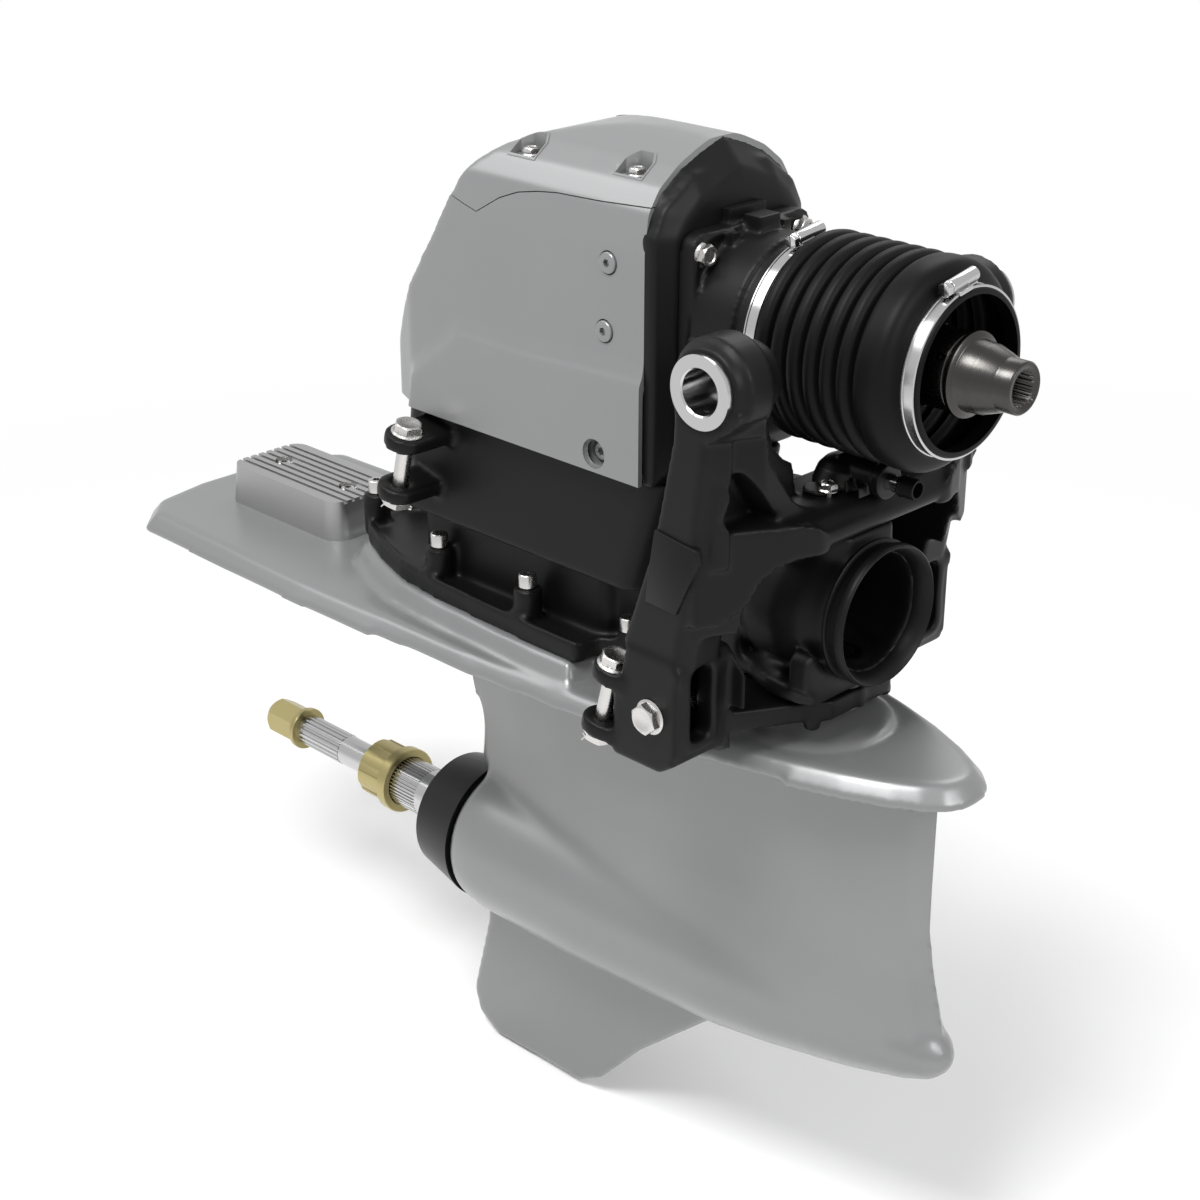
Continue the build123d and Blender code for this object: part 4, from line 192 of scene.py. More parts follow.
def blackPlastic():
    paint = Paint("black_plastic")
    grain = paint.noise(1500, 2)
    paint.set(
        Base_Color=shade(0.0045),
        Roughness=grain * 0.08 + 0.32,
        Normal=paint.bump(grain, 0.06, 0.0003),
    )
    paint.set(Specular_IOR_Level=0.25)
    return paint.material


def blackRubber():
    paint = Paint("bellows_rubber")
    cloud = paint.noise(30, 3)
    grain = paint.noise(1800, 2)
    paint.set(
        Base_Color=paint.mix(shade(0.0018), shade(0.0028), cloud),
        Roughness=cloud * 0.12 + 0.40,
        Normal=paint.bump(grain, 0.08, 0.0003),
    )
    paint.set(Specular_IOR_Level=0.12)
    return paint.material


def metal(name, colour, roughness, spread, scale):
    paint = Paint(name)
    grain = paint.noise(scale, 3)
    paint.set(
        Base_Color=colour,
        Metallic=1.0,
        Roughness=grain * spread + (roughness - spread / 2),
    )
    return paint.material


materials = {
    "silver_paint": silverPaint(),
    "black_casting": blackCasting(),
    "black_plastic": blackPlastic(),
    "bellows_rubber": blackRubber(),
    "seal_rubber": blackRubber(),
    "grey_alloy": metal("grey_alloy", shade(0.42), 0.4, 0.1, 300),
    "machined_steel": metal("machined_steel", shade(0.16, 0.02), 0.34, 0.1, 500),
    "polished_steel": metal("polished_steel", shade(0.52), 0.18, 0.08, 400),
    "zinc_steel": metal("zinc_steel", shade(0.55, 0.02), 0.27, 0.1, 700),
    "dark_steel": metal("dark_steel", shade(0.06, 0.04), 0.28, 0.1, 500),
    "silver_screw": silverPaint(),
    "bronze": metal("bronze", (0.42, 0.36, 0.17, 1), 0.32, 0.1, 500),
}

for subpart in frame["record"]["subparts"]:
    node = frame["nodes"][subpart["node"]]
    node.data.materials.clear()
    node.data.materials.append(materials[subpart["material_slot"]])
frame["nodes"]["kingpin_bushes"].data.materials[0] = materials["dark_steel"]
print("materials made")


# Modelling helpers
def clearSelection():
    if bpy.context.mode != "OBJECT":
        bpy.ops.object.mode_set(mode="OBJECT")
    bpy.ops.object.select_all(action="DESELECT")


def pick(*pieces):
    clearSelection()
    for piece in pieces:
        piece.select_set(True)
    bpy.context.view_layer.objects.active = pieces[0]
    return pieces[0]


def openMesh(piece, mode="VERT", everything=True):
    pick(piece)
    bpy.ops.object.mode_set(mode="EDIT")
    bpy.ops.mesh.select_mode(type=mode)
    if everything:
        bpy.ops.mesh.select_all(action="SELECT")


def closeMesh():
    bpy.ops.object.mode_set(mode="OBJECT")


def faceOut(piece, merge=1e-6):
    openMesh(piece)
    bpy.ops.mesh.remove_doubles(threshold=merge)
    bpy.ops.mesh.normals_make_consistent(inside=False)
    closeMesh()
    return piece


def modify(piece, kind, **settings):
    pick(piece)
    bpy.ops.object.modifier_add(type=kind)
    modifier = piece.modifiers[-1]
    for key, value in settings.items():
        setattr(modifier, key, value)
    bpy.ops.object.modifier_apply(modifier=modifier.name)
    return piece


# Moves a fresh primitive's place, turn and scale into its mesh
def settle(piece):
    pick(piece)
    bpy.ops.object.transform_apply(location=True, rotation=True, scale=True)
    return piece


def rounded(piece, width, segments=3, angle=30):
    return modify(
        piece,
        "BEVEL",
        width=width,
        segments=segments,
        limit_method="ANGLE",
        angle_limit=math.radians(angle),
    )


def box(low, high):
    clearSelection()
    middle = [(a + b) / 2 for a, b in zip(low, high)]
    bpy.ops.mesh.primitive_cube_add(size=1, location=middle)
    bpy.context.object.scale = [b - a for a, b in zip(low, high)]
    return settle(bpy.context.object)


def rod(start, end, radius, tip=None, sides=64):
    clearSelection()
    start, end = Vector(start), Vector(end)
    bpy.ops.mesh.primitive_cone_add(
        vertices=sides,
        radius1=radius,
        radius2=radius if tip is None else tip,
        depth=(end - start).length,
        location=(start + end) / 2,
        rotation=(end - start).to_track_quat("Z", "Y").to_euler(),
    )
    return settle(bpy.context.object)


# An outline in the plane square to an axis, given as pairs of the two other coordinates
def slab(points, axis, low, high):
    clearSelection()
    bpy.ops.mesh.primitive_circle_add(vertices=len(points), radius=1, fill_type="NGON")
    piece = bpy.context.object
    for vertex, (first, second) in zip(piece.data.vertices, points):
        vertex.co = {
            "X": (low, first, second),
            "Y": (first, low, second),
            "Z": (first, second, low),
        }[axis]
    reach = [high - low if letter == axis else 0 for letter in "XYZ"]
    openMesh(piece, "FACE")
    bpy.ops.mesh.extrude_region_move(TRANSFORM_OT_translate={"value": reach})
    closeMesh()
    return faceOut(piece)


# Turned about an axis: points are (distance along it, radius); ends on the axis close the piece
def turned(points, centre=(0, 0, 0), direction=(1, 0, 0), steps=96):
    clearSelection()
    bpy.ops.mesh.primitive_circle_add(vertices=len(points), radius=1)
    piece = bpy.context.object
    for vertex, (along, radius) in zip(piece.data.vertices, points):
        vertex.co = (along, 0, radius)
    if points[0][1] == 0 and points[-1][1] == 0:
        for part in (*piece.data.vertices, *piece.data.edges):
            part.select = False
        piece.data.edges[-1].select = True
        openMesh(piece, "EDGE", everything=False)
        bpy.ops.mesh.delete(type="EDGE")
        closeMesh()
    openMesh(piece)
    bpy.ops.mesh.spin(steps=steps, angle=2 * math.pi, center=(0, 0, 0), axis=(1, 0, 0))
    closeMesh()
    faceOut(piece)
    turn = Vector((1, 0, 0)).rotation_difference(Vector(direction)).to_matrix().to_4x4()
    piece.data.transform(Matrix.Translation(centre) @ turn)
    return piece


def combine(piece, other, operation="DIFFERENCE", solver="MANIFOLD", keep=False):
    modify(piece, "BOOLEAN", operation=operation, solver=solver, object=other)
    if not keep:
        pick(other)
        bpy.ops.object.delete()
    return piece


def cut(piece, *tools):
    for tool in tools:
        combine(piece, tool)
    return piece


def fuse(piece, *others):
    for other in others:
        combine(piece, other, "UNION")
    return piece


def placed(piece, matrix, name):
    twin = piece.copy()
    twin.data = piece.data.copy()
    twin.name = name
    bpy.context.collection.objects.link(twin)
    twin.data.transform(matrix)
    return twin


def twinOf(piece, name):
    return placed(piece, Matrix(), name)


# A copy of a CAD node with its seams closed, ready for booleans
def cadCopy(node):
    return faceOut(twinOf(frame["nodes"][node], node + "_copy"), 1e-5)


def merged(name, *pieces):
    pick(*pieces)
    if len(pieces) > 1:
        bpy.ops.object.join()
    pieces[0].name = name
    return pieces[0]


def drop(*pieces):
    pick(*pieces)
    bpy.ops.object.delete()


# Half an outline and its mirror image; across says which coordinate changes sign
def bothSides(half, across=0):
    points = list(half)
    for point in reversed(half):
        if point[across] > 0:
            points.append(tuple(-value if place == across else value for place, value in enumerate(point)))
    return points


def mirrorPoints(points, side, across=0):
    return [
        tuple(side * value if place == across else value for place, value in enumerate(point))
        for point in points
    ]


def span(side, inner, outer):
    return sorted((side * inner, side * outer))


def smoothed(piece, passes, factor=0.5):
    return modify(piece, "SMOOTH", factor=factor, iterations=passes)


# A cast skin over a CAD node and extra forms: their edges are melted into fillets
def castSkin(node, voxel, passes, extra=()):
    skin = merged(node + "_skin", cadCopy(node), *extra)
    modify(skin, "REMESH", mode="VOXEL", voxel_size=voxel)
    return smoothed(skin, passes)


# Turns +X to a direction, after a turn about it, and moves it to a place
def along(direction, place=(0, 0, 0), turn=0.0):
    aim = Vector((1, 0, 0)).rotation_difference(Vector(direction).normalized())
    spin = Matrix.Rotation(turn, 4, "X")
    return Matrix.Translation(place) @ aim.to_matrix().to_4x4() @ spin


def finish(piece, name, finishName, body, *nodes, angle=30):
    piece.name = name
    piece.data.materials.clear()
    piece.data.materials.append(materials[finishName])
    pick(piece)
    bpy.ops.object.shade_smooth_by_angle(angle=math.radians(angle))
    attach(piece, body)
    if nodes:
        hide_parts(*nodes)
    return piece


# Cowl: one body with a soft skin, cut along its seam into a top cover and two side covers
cowl = {
    "side": (
        (-0.478, -0.133), (-0.461, -0.082), (-0.444, -0.046), (-0.420, -0.010), (-0.395, 0.024),
        (-0.383, 0.044), (-0.370, 0.065), (-0.360, 0.081), (-0.347, 0.097), (-0.324, 0.113),
        (-0.300, 0.123), (-0.270, 0.131), (-0.229, 0.1375), (-0.190, 0.140), (-0.150, 0.1395),
        (-0.080, 0.134), (-0.080, -0.160), (-0.478, -0.160),
    ),
    "front": (
        (0.088, -0.160), (0.088, 0.060), (0.084, 0.090), (0.072, 0.108), (0.050, 0.124), (0.026, 0.1345),
        (0, 0.1435),
    ),
    "plan": ((-0.060, 0.089), (-0.380, 0.089), (-0.425, 0.086), (-0.458, 0.072), (-0.476, 0.052), (-0.484, 0.026)),
    "blankX": (-0.52, -0.06),
    # the lower part of each side stands out in two steps, and fades at both ends
    "ledge": (
        (-0.356, -0.0385), (-0.283, -0.040), (-0.204, -0.036), (-0.144, -0.033), (-0.080, -0.030),
        (-0.080, -0.200), (-0.440, -0.200), (-0.420, -0.090),
    ),
    "ledgeSteps": (0.35, 1.0),
    "ledgeStandsOut": 0.0055,
    "ledgeDrop": 0.013,
    "ledgeInnerY": 0.070,
    "sideY": 0.088,
    "voxel": 0.003,
    "passes": 14,
    "seam": (
        (-0.090, 0.097), (-0.128, 0.0955), (-0.193, 0.0915), (-0.240, 0.090), (-0.262, 0.0875), (-0.285, 0.083),
        (-0.306, 0.075), (-0.333, 0.059), (-0.3475, 0.0625), (-0.362, 0.0665), (-0.440, 0.085),
    ),
    "seamGap": 0.0009,
    "splitHalfGap": 0.0005,
    "bottom": -0.133,
    "frontX": -0.138,
    "wall": 0.0045,
    "insideVoxel": 0.005,
    "insideShift": (0.004, 0, -0.004),
}


def buildCowl(settings):
    body = slab(settings["side"], "Y", -far, far)
    combine(body, slab(bothSides(settings["front"]), "X", *settings["blankX"]), "INTERSECT")
    combine(body, slab(bothSides(settings["plan"], 1), "Z", -far, far), "INTERSECT")
    for share in settings["ledgeSteps"]:
        ledge = [(x, z - share * settings["ledgeDrop"]) for x, z in settings["ledge"]]
        outerY = settings["sideY"] + share * settings["ledgeStandsOut"]
        for side in (-1, 1):
            fuse(body, slab(ledge, "Y", *span(side, settings["ledgeInnerY"], outerY)))
    modify(body, "REMESH", mode="VOXEL", voxel_size=settings["voxel"])
    return smoothed(body, settings["passes"])


def hollowCowl(body, settings):
    inside = twinOf(body, "cowl_inside")
    modify(inside, "DISPLACE", strength=-settings["wall"], mid_level=0)
    inside.data.transform(Matrix.Translation(settings["insideShift"]))
    modify(inside, "REMESH", mode="VOXEL", voxel_size=settings["insideVoxel"])
    skin = cut(twinOf(body, "cowl_skin"), inside)
    return combine(skin, box((-far, -far, settings["bottom"]), (settings["frontX"], far, far)), "INTERSECT")


# Everything beyond the seam, up or down, less a gap
def beyondSeam(settings, reach, gap=0.0):
    line = [(x, z - gap) for x, z in settings["seam"]]
    (frontX, _), (_, backZ) = settings["seam"][0], settings["seam"][-1]
    return slab(line + [(-far, backZ), (-far, reach), (frontX, reach)], "Y", -far, far)


cowlBody = buildCowl(cowl)
sideSkin = hollowCowl(cowlBody, cowl)
topCover = combine(twinOf(sideSkin, "top_cover_skin"), beyondSeam(cowl, far), "INTERSECT")
combine(sideSkin, beyondSeam(cowl, -far, cowl["seamGap"]), "INTERSECT")
print("cowl shaped")


# Four pockets in the top cover, each a cup with a bolt at its floor
pocket = {
    "spots": ((-0.176, 0.057, 0.1095), (-0.294, 0.060, 0.1075)),  # bolt's place, with the floor's height
    "outline": (  # x and outward y from the bolt
        (-0.0145, 0.011), (-0.0145, -0.002), (-0.0070, -0.0115), (0.0070, -0.0115), (0.0145, -0.002),
        (0.0145, 0.011),
    ),
    "cupWall": 0.003,
    "lipWidth": 0.0014,
    "lipHeight": 0.0008,
    "lipFromZ": 0.10,
}


def pocketOutline(spot, side, grow):
    x, y, _ = spot
    return [
        (x + dx + math.copysign(grow, dx), side * (y + dy + math.copysign(grow, dy)))
        for dx, dy in pocket["outline"]
    ]


def buildPockets(cover, body):
    raised = twinOf(body, "raised_cover")
    modify(raised, "DISPLACE", strength=pocket["lipHeight"], mid_level=0)
    for spot in pocket["spots"]:
        floorZ = spot[2]
        for side in (-1, 1):
            cup = slab(pocketOutline(spot, side, pocket["cupWall"]), "Z", floorZ - pocket["cupWall"], far)
            fuse(cover, combine(cup, body, "INTERSECT", keep=True))
            lip = slab(pocketOutline(spot, side, pocket["lipWidth"]), "Z", pocket["lipFromZ"], far)
            fuse(cover, combine(lip, raised, "INTERSECT", keep=True))
            cut(cover, slab(pocketOutline(spot, side, 0), "Z", floorZ, far))
    drop(raised)


buildPockets(topCover, cowlBody)
finish(topCover, "top_cover_shell", "silver_paint", "drive", "top_cover")

# Screw wells of the side covers, as (distance out of the face, radius)
sideScrews = {
    "flush": ((-0.178, 0.045), (-0.182, -0.012)),
    "deep": (-0.189, -0.117),
    "faceY": 0.088,
    "ledgeOut": 0.002,
    "flushWell": (
        (-0.006, 0), (-0.006, 0.0092), (-0.0008, 0.0095), (0.001, 0.0106), (0.01, 0.0112), (0.01, 0),
    ),
    "deepWell": (
        (-0.011, 0), (-0.011, 0.0105), (-0.001, 0.0112), (0.0015, 0.0125), (0.01, 0.0135), (0.01, 0),
    ),
    "deepSeat": 0.0095,
    "cupY": (0.070, 0.084),
    "cupRadius": 0.0155,
}


def buildSideCover(side, name):
    low, high = span(side, cowl["splitHalfGap"], far)
    cover = combine(twinOf(sideSkin, name), box((-far, low, -far), (far, high, far)), "INTERSECT")
    face = sideScrews["faceY"]
    for x, z in sideScrews["flush"]:
        cut(cover, turned(sideScrews["flushWell"], (x, side * face, z), (0, side, 0)))
    x, z = sideScrews["deep"]
    inner, outer = sideScrews["cupY"]
    fuse(cover, rod((x, side * inner, z), (x, side * outer, z), sideScrews["cupRadius"]))
    deepFace = side * (face + sideScrews["ledgeOut"])
    cut(cover, turned(sideScrews["deepWell"], (x, deepFace, z), (0, side, 0)))
    return finish(cover, name, "silver_paint", "drive", name.replace("_shell", ""))


buildSideCover(-1, "side_cover_starboard_shell")
buildSideCover(1, "side_cover_port_shell")
drop(sideSkin, cowlBody)
print("cowl finished")


# Fork: arms, feet and bosses from the frame; the web between arm and deck is an open frame
fork = {
    "voxel": 0.0024,
    "passes": 6,
    "room": ((-0.040, -0.150, -0.1432), (0.060, 0.150, -0.0385)),
    "deck": (
        (-0.034, -0.115), (0.026, -0.1145), (0.033, -0.1165), (0.038, -0.1225), (0.0415, -0.1265),
        (0.0445, -0.1275), (0.0448, -0.1345), (0.041, -0.1395), (0.030, -0.1428), (-0.034, -0.143),
    ),
    "deckY": 0.150,
    "plan": ((-0.045, 0.1715), (-0.004, 0.1715), (0.020, 0.128), (0.035, 0.105), (0.0448, 0.080)),
    "strut": (
        (0.165, -0.016), (0.165, -0.050), (0.153, -0.069), (0.139, -0.0675), (0.132, -0.0745),
        (0.104, -0.1135), (0.096, -0.120), (0.052, -0.1155), (0.070, -0.1115), (0.082, -0.106),
        (0.091, -0.099), (0.119, -0.060), (0.122, -0.016),
    ),
    "strutX": (-0.010, 0.0225),
    "gusset": (
        (0.170, -0.116), (0.153, -0.1245), (0.104, -0.1135), (0.085, -0.117), (0.070, -0.128),
        (0.070, -0.143), (0.100, -0.1438), (0.114, -0.148), (0.124, -0.158), (0.130, -0.176),
        (0.153, -0.192), (0.170, -0.192),
    ),
    "gussetX": (-0.040, 0.050),
    "saddle": (
        (0.153, -0.030), (0.111, -0.034), (0.096, -0.041), (0.086, -0.053), (0.079, -0.069), (0.067, -0.081),
        (0.056, -0.087), (0.050, -0.120), (0.153, -0.125),
    ),
    "saddleX": (-0.021, -0.007),
    "armFront": ((0.013, 0.1495), (0.0015, 0.175), (0.070, 0.175), (0.070, 0.1495)),
    "footFront": (
        (-0.010, -0.205), (-0.0155, -0.236), (-0.018, -0.250), (-0.018, -0.306), (-0.022, -0.316),
        (-0.040, -0.328), (0.030, -0.335), (0.030, -0.205),
    ),
    "footY": (0.113, 0.180),
    "floorFront": ((-0.018, 0.1140), (0.012, 0.060), (0.060, 0.060), (0.060, 0.1140)),
    "floorZ": (-0.320, -0.280),
    # boss forms as (distance in from its face, radius)
    "bossTaper": (
        (-0.001, 0.0312), (0.001, 0.0325), (0.0080, 0.0345), (0.0090, 0.0367), (0.034, 0.0367),
        (0.0385, 0.0345), (0.041, 0.0310), (0.041, 0.070), (-0.001, 0.070),
    ),
    "bossRing": (
        (0.0092, 0.030), (0.0092, 0.0378), (0.0100, 0.0388), (0.0340, 0.0388), (0.0360, 0.0370),
        (0.0360, 0.030),
    ),
    "bossNeck": ((0.0408, 0.0295), (0.062, 0.0262), (0.062, 0.060), (0.0408, 0.060)),
    "bossFaceY": 0.1686,
    "taperFromZ": -0.012,
    "ringFromZ": -0.020,
    "pad": (
        (-0.043, -0.119), (0.000, -0.1245), (0.002, -0.134), (-0.020, -0.183), (-0.052, -0.181),
        (-0.049, -0.154),
    ),
    "padY": (0.168, 0.1740),
    "padBevel": 0.0007,
    "slot": (0.1455, -0.267, 0.0150, 0.0325, 0.0118),
    "slotX": (-0.064, 0.0),
    "border": 0.0065,
    "borderX": (-0.035, -0.0160),
    "waterHoleZ": (-0.16, -0.10),
    "waterHoleRadius": 0.0141,
}


# Rounded outline with a waist, as (y, z) points around its middle
def waisted(middleY, middleZ, halfWidth, halfHeight, waist, grow=0.0, sides=32):
    points = []
    for index in range(sides):
        angle = 2 * math.pi * index / sides
        across, up = math.cos(angle), math.sin(angle)
        rise = math.copysign(abs(up) ** 0.5, up) * (halfHeight + grow)
        narrow = waist + (halfWidth - waist) * min(1, abs(rise) / halfHeight) ** 2
        points.append((middleY + math.copysign(abs(across) ** 0.6, across) * (narrow + grow), middleZ + rise))
    return points


# Deck, struts, gussets and saddles, trimmed to the deck's plan
def forkMembers(settings):
    plan = slab(bothSides(settings["plan"], 1), "Z", -far, far)
    members = [slab(settings["deck"], "Y", -settings["deckY"], settings["deckY"])]
    for side in (-1, 1):
        for form in ("strut", "gusset", "saddle"):
            members.append(slab(mirrorPoints(settings[form], side), "X", *settings[form + "X"]))
    for member in members:
        combine(member, plan, "INTERSECT", keep=True)
    drop(plan)
    return members


def buildFork(settings):
    blank = cadCopy("suspension_fork")
    cut(blank, box(*settings["room"]))
    members = forkMembers(settings)
    armLow, armHigh = (corner[2] for corner in settings["room"])
    for side in (-1, 1):
        face, inward = (0, side * settings["bossFaceY"], 0), (0, -side, 0)
        taper = turned(settings["bossTaper"], face, inward)
        combine(taper, box((-far, -far, settings["taperFromZ"]), (far, far, far)), "INTERSECT")
        neck = turned(settings["bossNeck"], face, inward)
        arm = slab(mirrorPoints(settings["armFront"], side, 1), "Z", armLow, armHigh)
        foot = slab(settings["footFront"], "Y", *span(side, *settings["footY"]))
        edge = slab(mirrorPoints(settings["floorFront"], side, 1), "Z", *settings["floorZ"])
        cut(blank, taper, neck, arm, foot, edge)
        ring = turned(settings["bossRing"], face, inward)
        members.append(combine(ring, box((-far, -far, settings["ringFromZ"]), (far, far, far)), "INTERSECT"))
        border = waisted(*settings["slot"], grow=settings["border"])
        members.append(slab(mirrorPoints(border, side), "X", *settings["borderX"]))
    fuse(blank, *members)
    for side in (-1, 1):
        cut(blank, slab(mirrorPoints(waisted(*settings["slot"]), side), "X", *settings["slotX"]))
    holeLow, holeHigh = settings["waterHoleZ"]
    cut(blank, rod((0, 0, holeLow), (0, 0, holeHigh), settings["waterHoleRadius"]))
    modify(blank, "REMESH", mode="VOXEL", voxel_size=settings["voxel"])
    smoothed(blank, settings["passes"])
    for side in (-1, 1):
        pad = slab(settings["pad"], "Y", *span(side, *settings["padY"]))
        fuse(blank, rounded(pad, settings["padBevel"], 2))
    return blank


finish(buildFork(fork), "fork_casting", "black_casting", "suspension_fork", "suspension_fork", angle=50)
print("fork made")

# Middle housing: its barrel runs forward as a round tube into the exhaust collar.
# Turned forms are (distance along the axis, radius); the trimmed ring is (z, radius) on the steering axis.
barrel = {
    "voxel": 0.003,
    "passes": 7,
    "axisZ": -0.217,
    "trim": ((-0.268, 0.0635), (-0.1455, 0.0625), (-0.1455, 0.09), (-0.268, 0.09)),
    "trimFromX": -0.058,
    "cornersX": (-0.005, 0.0302),
    "cornersZ": (-0.268, -0.1455),
    "tube": (
        (-0.070, 0.0560), (-0.045, 0.0655), (-0.015, 0.0675), (0.006, 0.0640), (0.020, 0.0595),
        (0.030, 0.0578), (0.030, 0.050), (-0.070, 0.050),
    ),
    "nose": ((-0.006, 0), (-0.006, 0.0672), (0.006, 0.0640), (0.020, 0.0595), (0.031, 0.0578), (0.031, 0)),
    "lug": ((0.075, -0.268), (0.075, -0.242), (0.067, -0.235), (0.058, -0.246), (0.030, -0.274), (0.060, -0.277)),
    "lugX": (0.010, 0.031),
    "steeringPost": 0.040,
    "steeringBore": 0.032,
    "collar": (
        (0.0300, 0.0500), (0.0300, 0.0592), (0.0307, 0.0600), (0.0325, 0.0600), (0.0332, 0.0592),
        (0.0338, 0.0572), (0.0418, 0.0572), (0.0426, 0.0592), (0.0436, 0.0600), (0.0470, 0.0599),
        (0.0500, 0.0592), (0.0509, 0.0581), (0.0504, 0.0570), (0.0420, 0.0522), (0.0350, 0.0502),
    ),
}


def buildMiddle(settings):
    blank = cadCopy("intermediate_housing")
    axis = (0, 0, settings["axisZ"])
    ring = turned(settings["trim"], (0, 0, 0), (0, 0, 1))
    combine(ring, box((settings["trimFromX"], -far, -far), (far, far, far)), "INTERSECT")
    (backX, frontX), (low, high) = settings["cornersX"], settings["cornersZ"]
    corners = box((backX, -far, low), (frontX, far, high))
    cut(corners, turned(settings["nose"], axis), rod((0, 0, -far), (0, 0, far), settings["steeringPost"]))
    cut(blank, ring, corners)
    fuse(blank, cut(turned(settings["tube"], axis), rod((0, 0, -far), (0, 0, far), settings["steeringBore"])))
    for side in (-1, 1):
        fuse(blank, slab(mirrorPoints(settings["lug"], side), "X", *settings["lugX"]))
    modify(blank, "REMESH", mode="VOXEL", voxel_size=settings["voxel"])
    return smoothed(blank, settings["passes"])


finish(buildMiddle(barrel), "middle_casting", "black_casting", "drive", "intermediate_housing", angle=50)
collarRing = turned(barrel["collar"], (0, 0, barrel["axisZ"]), steps=160)
finish(collarRing, "exhaust_collar_ring", "black_casting", "drive", "exhaust_collar", angle=40)
print("middle housing made")

# Upper housing with its front frame: a broad bevel that meets the cowl's front edge
frontFrame = {
    "voxel": 0.003,
    "passes": 4,
    "backX": -0.150,
    "edgeX": -0.1375,
    "frontX": -0.1185,
    "overlap": 0.001,
    "inset": 0.0012,
    "bevel": 0.016,
    "ring": 0.030,
    "halfWidth": 0.088,
    "middleZ": 0.02,
    "lower": 0.003,
    "bottom": -0.125,
}


# The cowl's front outline, shrunk towards the frame's middle
def frameOutline(shrink):
    narrow = 1 - shrink / frontFrame["halfWidth"]
    middle, corner = frontFrame["middleZ"], frontFrame["halfWidth"] * narrow
    points = [
        (y * narrow, middle + (z - middle - frontFrame["lower"]) * narrow)
        for y, z in bothSides(cowl["front"][1:])
    ]
    bottom = frontFrame["bottom"] + shrink
    return points + [(-corner, bottom), (corner, bottom)]


def buildFrame(settings):
    edge = settings["edgeX"]
    back = slab(frameOutline(settings["inset"]), "X", settings["backX"], edge)
    bevel = slab(frameOutline(settings["inset"]), "X", edge - settings["overlap"], settings["frontX"])
    front = [vertex for vertex in bevel.data.vertices if vertex.co.x > edge]
    for vertex, (y, z) in zip(front, frameOutline(settings["inset"] + settings["bevel"])):
        vertex.co.y, vertex.co.z = y, z
    fuse(back, bevel)
    return cut(back, slab(frameOutline(settings["ring"]), "X", -far, far))


upper = castSkin("upper_gear_housing", frontFrame["voxel"], frontFrame["passes"], (buildFrame(frontFrame),))
finish(upper, "upper_casting", "black_casting", "drive", "upper_gear_housing", angle=50)

# Front bearing cover, with a raised border and ribs around the bellows' neck
coverRibs = {
    "voxel": 0.002,
    "passes": 3,
    "outerBorder": (0.0695, 0.0755),
    "innerBorder": (0.0655, 0.0715),
    "squareness": 6,
    "borderX": (-0.106, -0.1015),
    "ribs": (
        ((-0.105, 0.050, -0.012), (-0.090, 0.0755, -0.004)),
        ((-0.105, -0.0755, -0.012), (-0.090, -0.050, -0.004)),
        ((-0.105, -0.012, 0.062), (-0.086, 0.012, 0.084)),
        ((-0.105, -0.034, 0.055), (-0.094, -0.026, 0.074)),
        ((-0.105, 0.026, 0.055), (-0.094, 0.034, 0.074)),
    ),
}


# Rounded rectangle, rounder with a lower squareness
def rim(halfWidth, halfHeight, squareness, sides=64):
    points = []
    for index in range(sides):
        angle = 2 * math.pi * index / sides
        across, up = math.cos(angle), math.sin(angle)
        points.append((
            math.copysign(abs(across) ** (2 / squareness), across) * halfWidth,
            math.copysign(abs(up) ** (2 / squareness), up) * halfHeight,
        ))
    return points


def coverExtras(settings):
    border = slab(rim(*settings["outerBorder"], settings["squareness"]), "X", *settings["borderX"])
    cut(border, slab(rim(*settings["innerBorder"], settings["squareness"]), "X", -far, far))
    return [border] + [box(*corners) for corners in settings["ribs"]]


cover = castSkin("bearing_cover", coverRibs["voxel"], coverRibs["passes"], coverExtras(coverRibs))
finish(cover, "bearing_cover_casting", "black_casting", "drive", "bearing_cover", angle=50)

# Lower unit: the strut's roots at the plate and the torpedo are blended softly
lowerUnit = {"voxel": 0.0038, "passes": 4, "blendX": (-0.44, 0.02), "blendZ": (-0.655, -0.335), "blendPasses": 60}


def buildLower(settings):
    piece = castSkin("lower_gear_housing", settings["voxel"], settings["passes"])
    (backX, frontX), (low, high) = settings["blendX"], settings["blendZ"]
    soft = [v.index for v in piece.data.vertices if low < v.co.z < high and backX < v.co.x < frontX]
    piece.vertex_groups.new(name="blend").add(soft, 1.0, "REPLACE")
    return modify(piece, "SMOOTH", factor=0.5, iterations=settings["blendPasses"], vertex_group="blend")


finish(buildLower(lowerUnit), "lower_unit_casting", "silver_paint", "drive", "lower_gear_housing", angle=50)
print("castings finished")

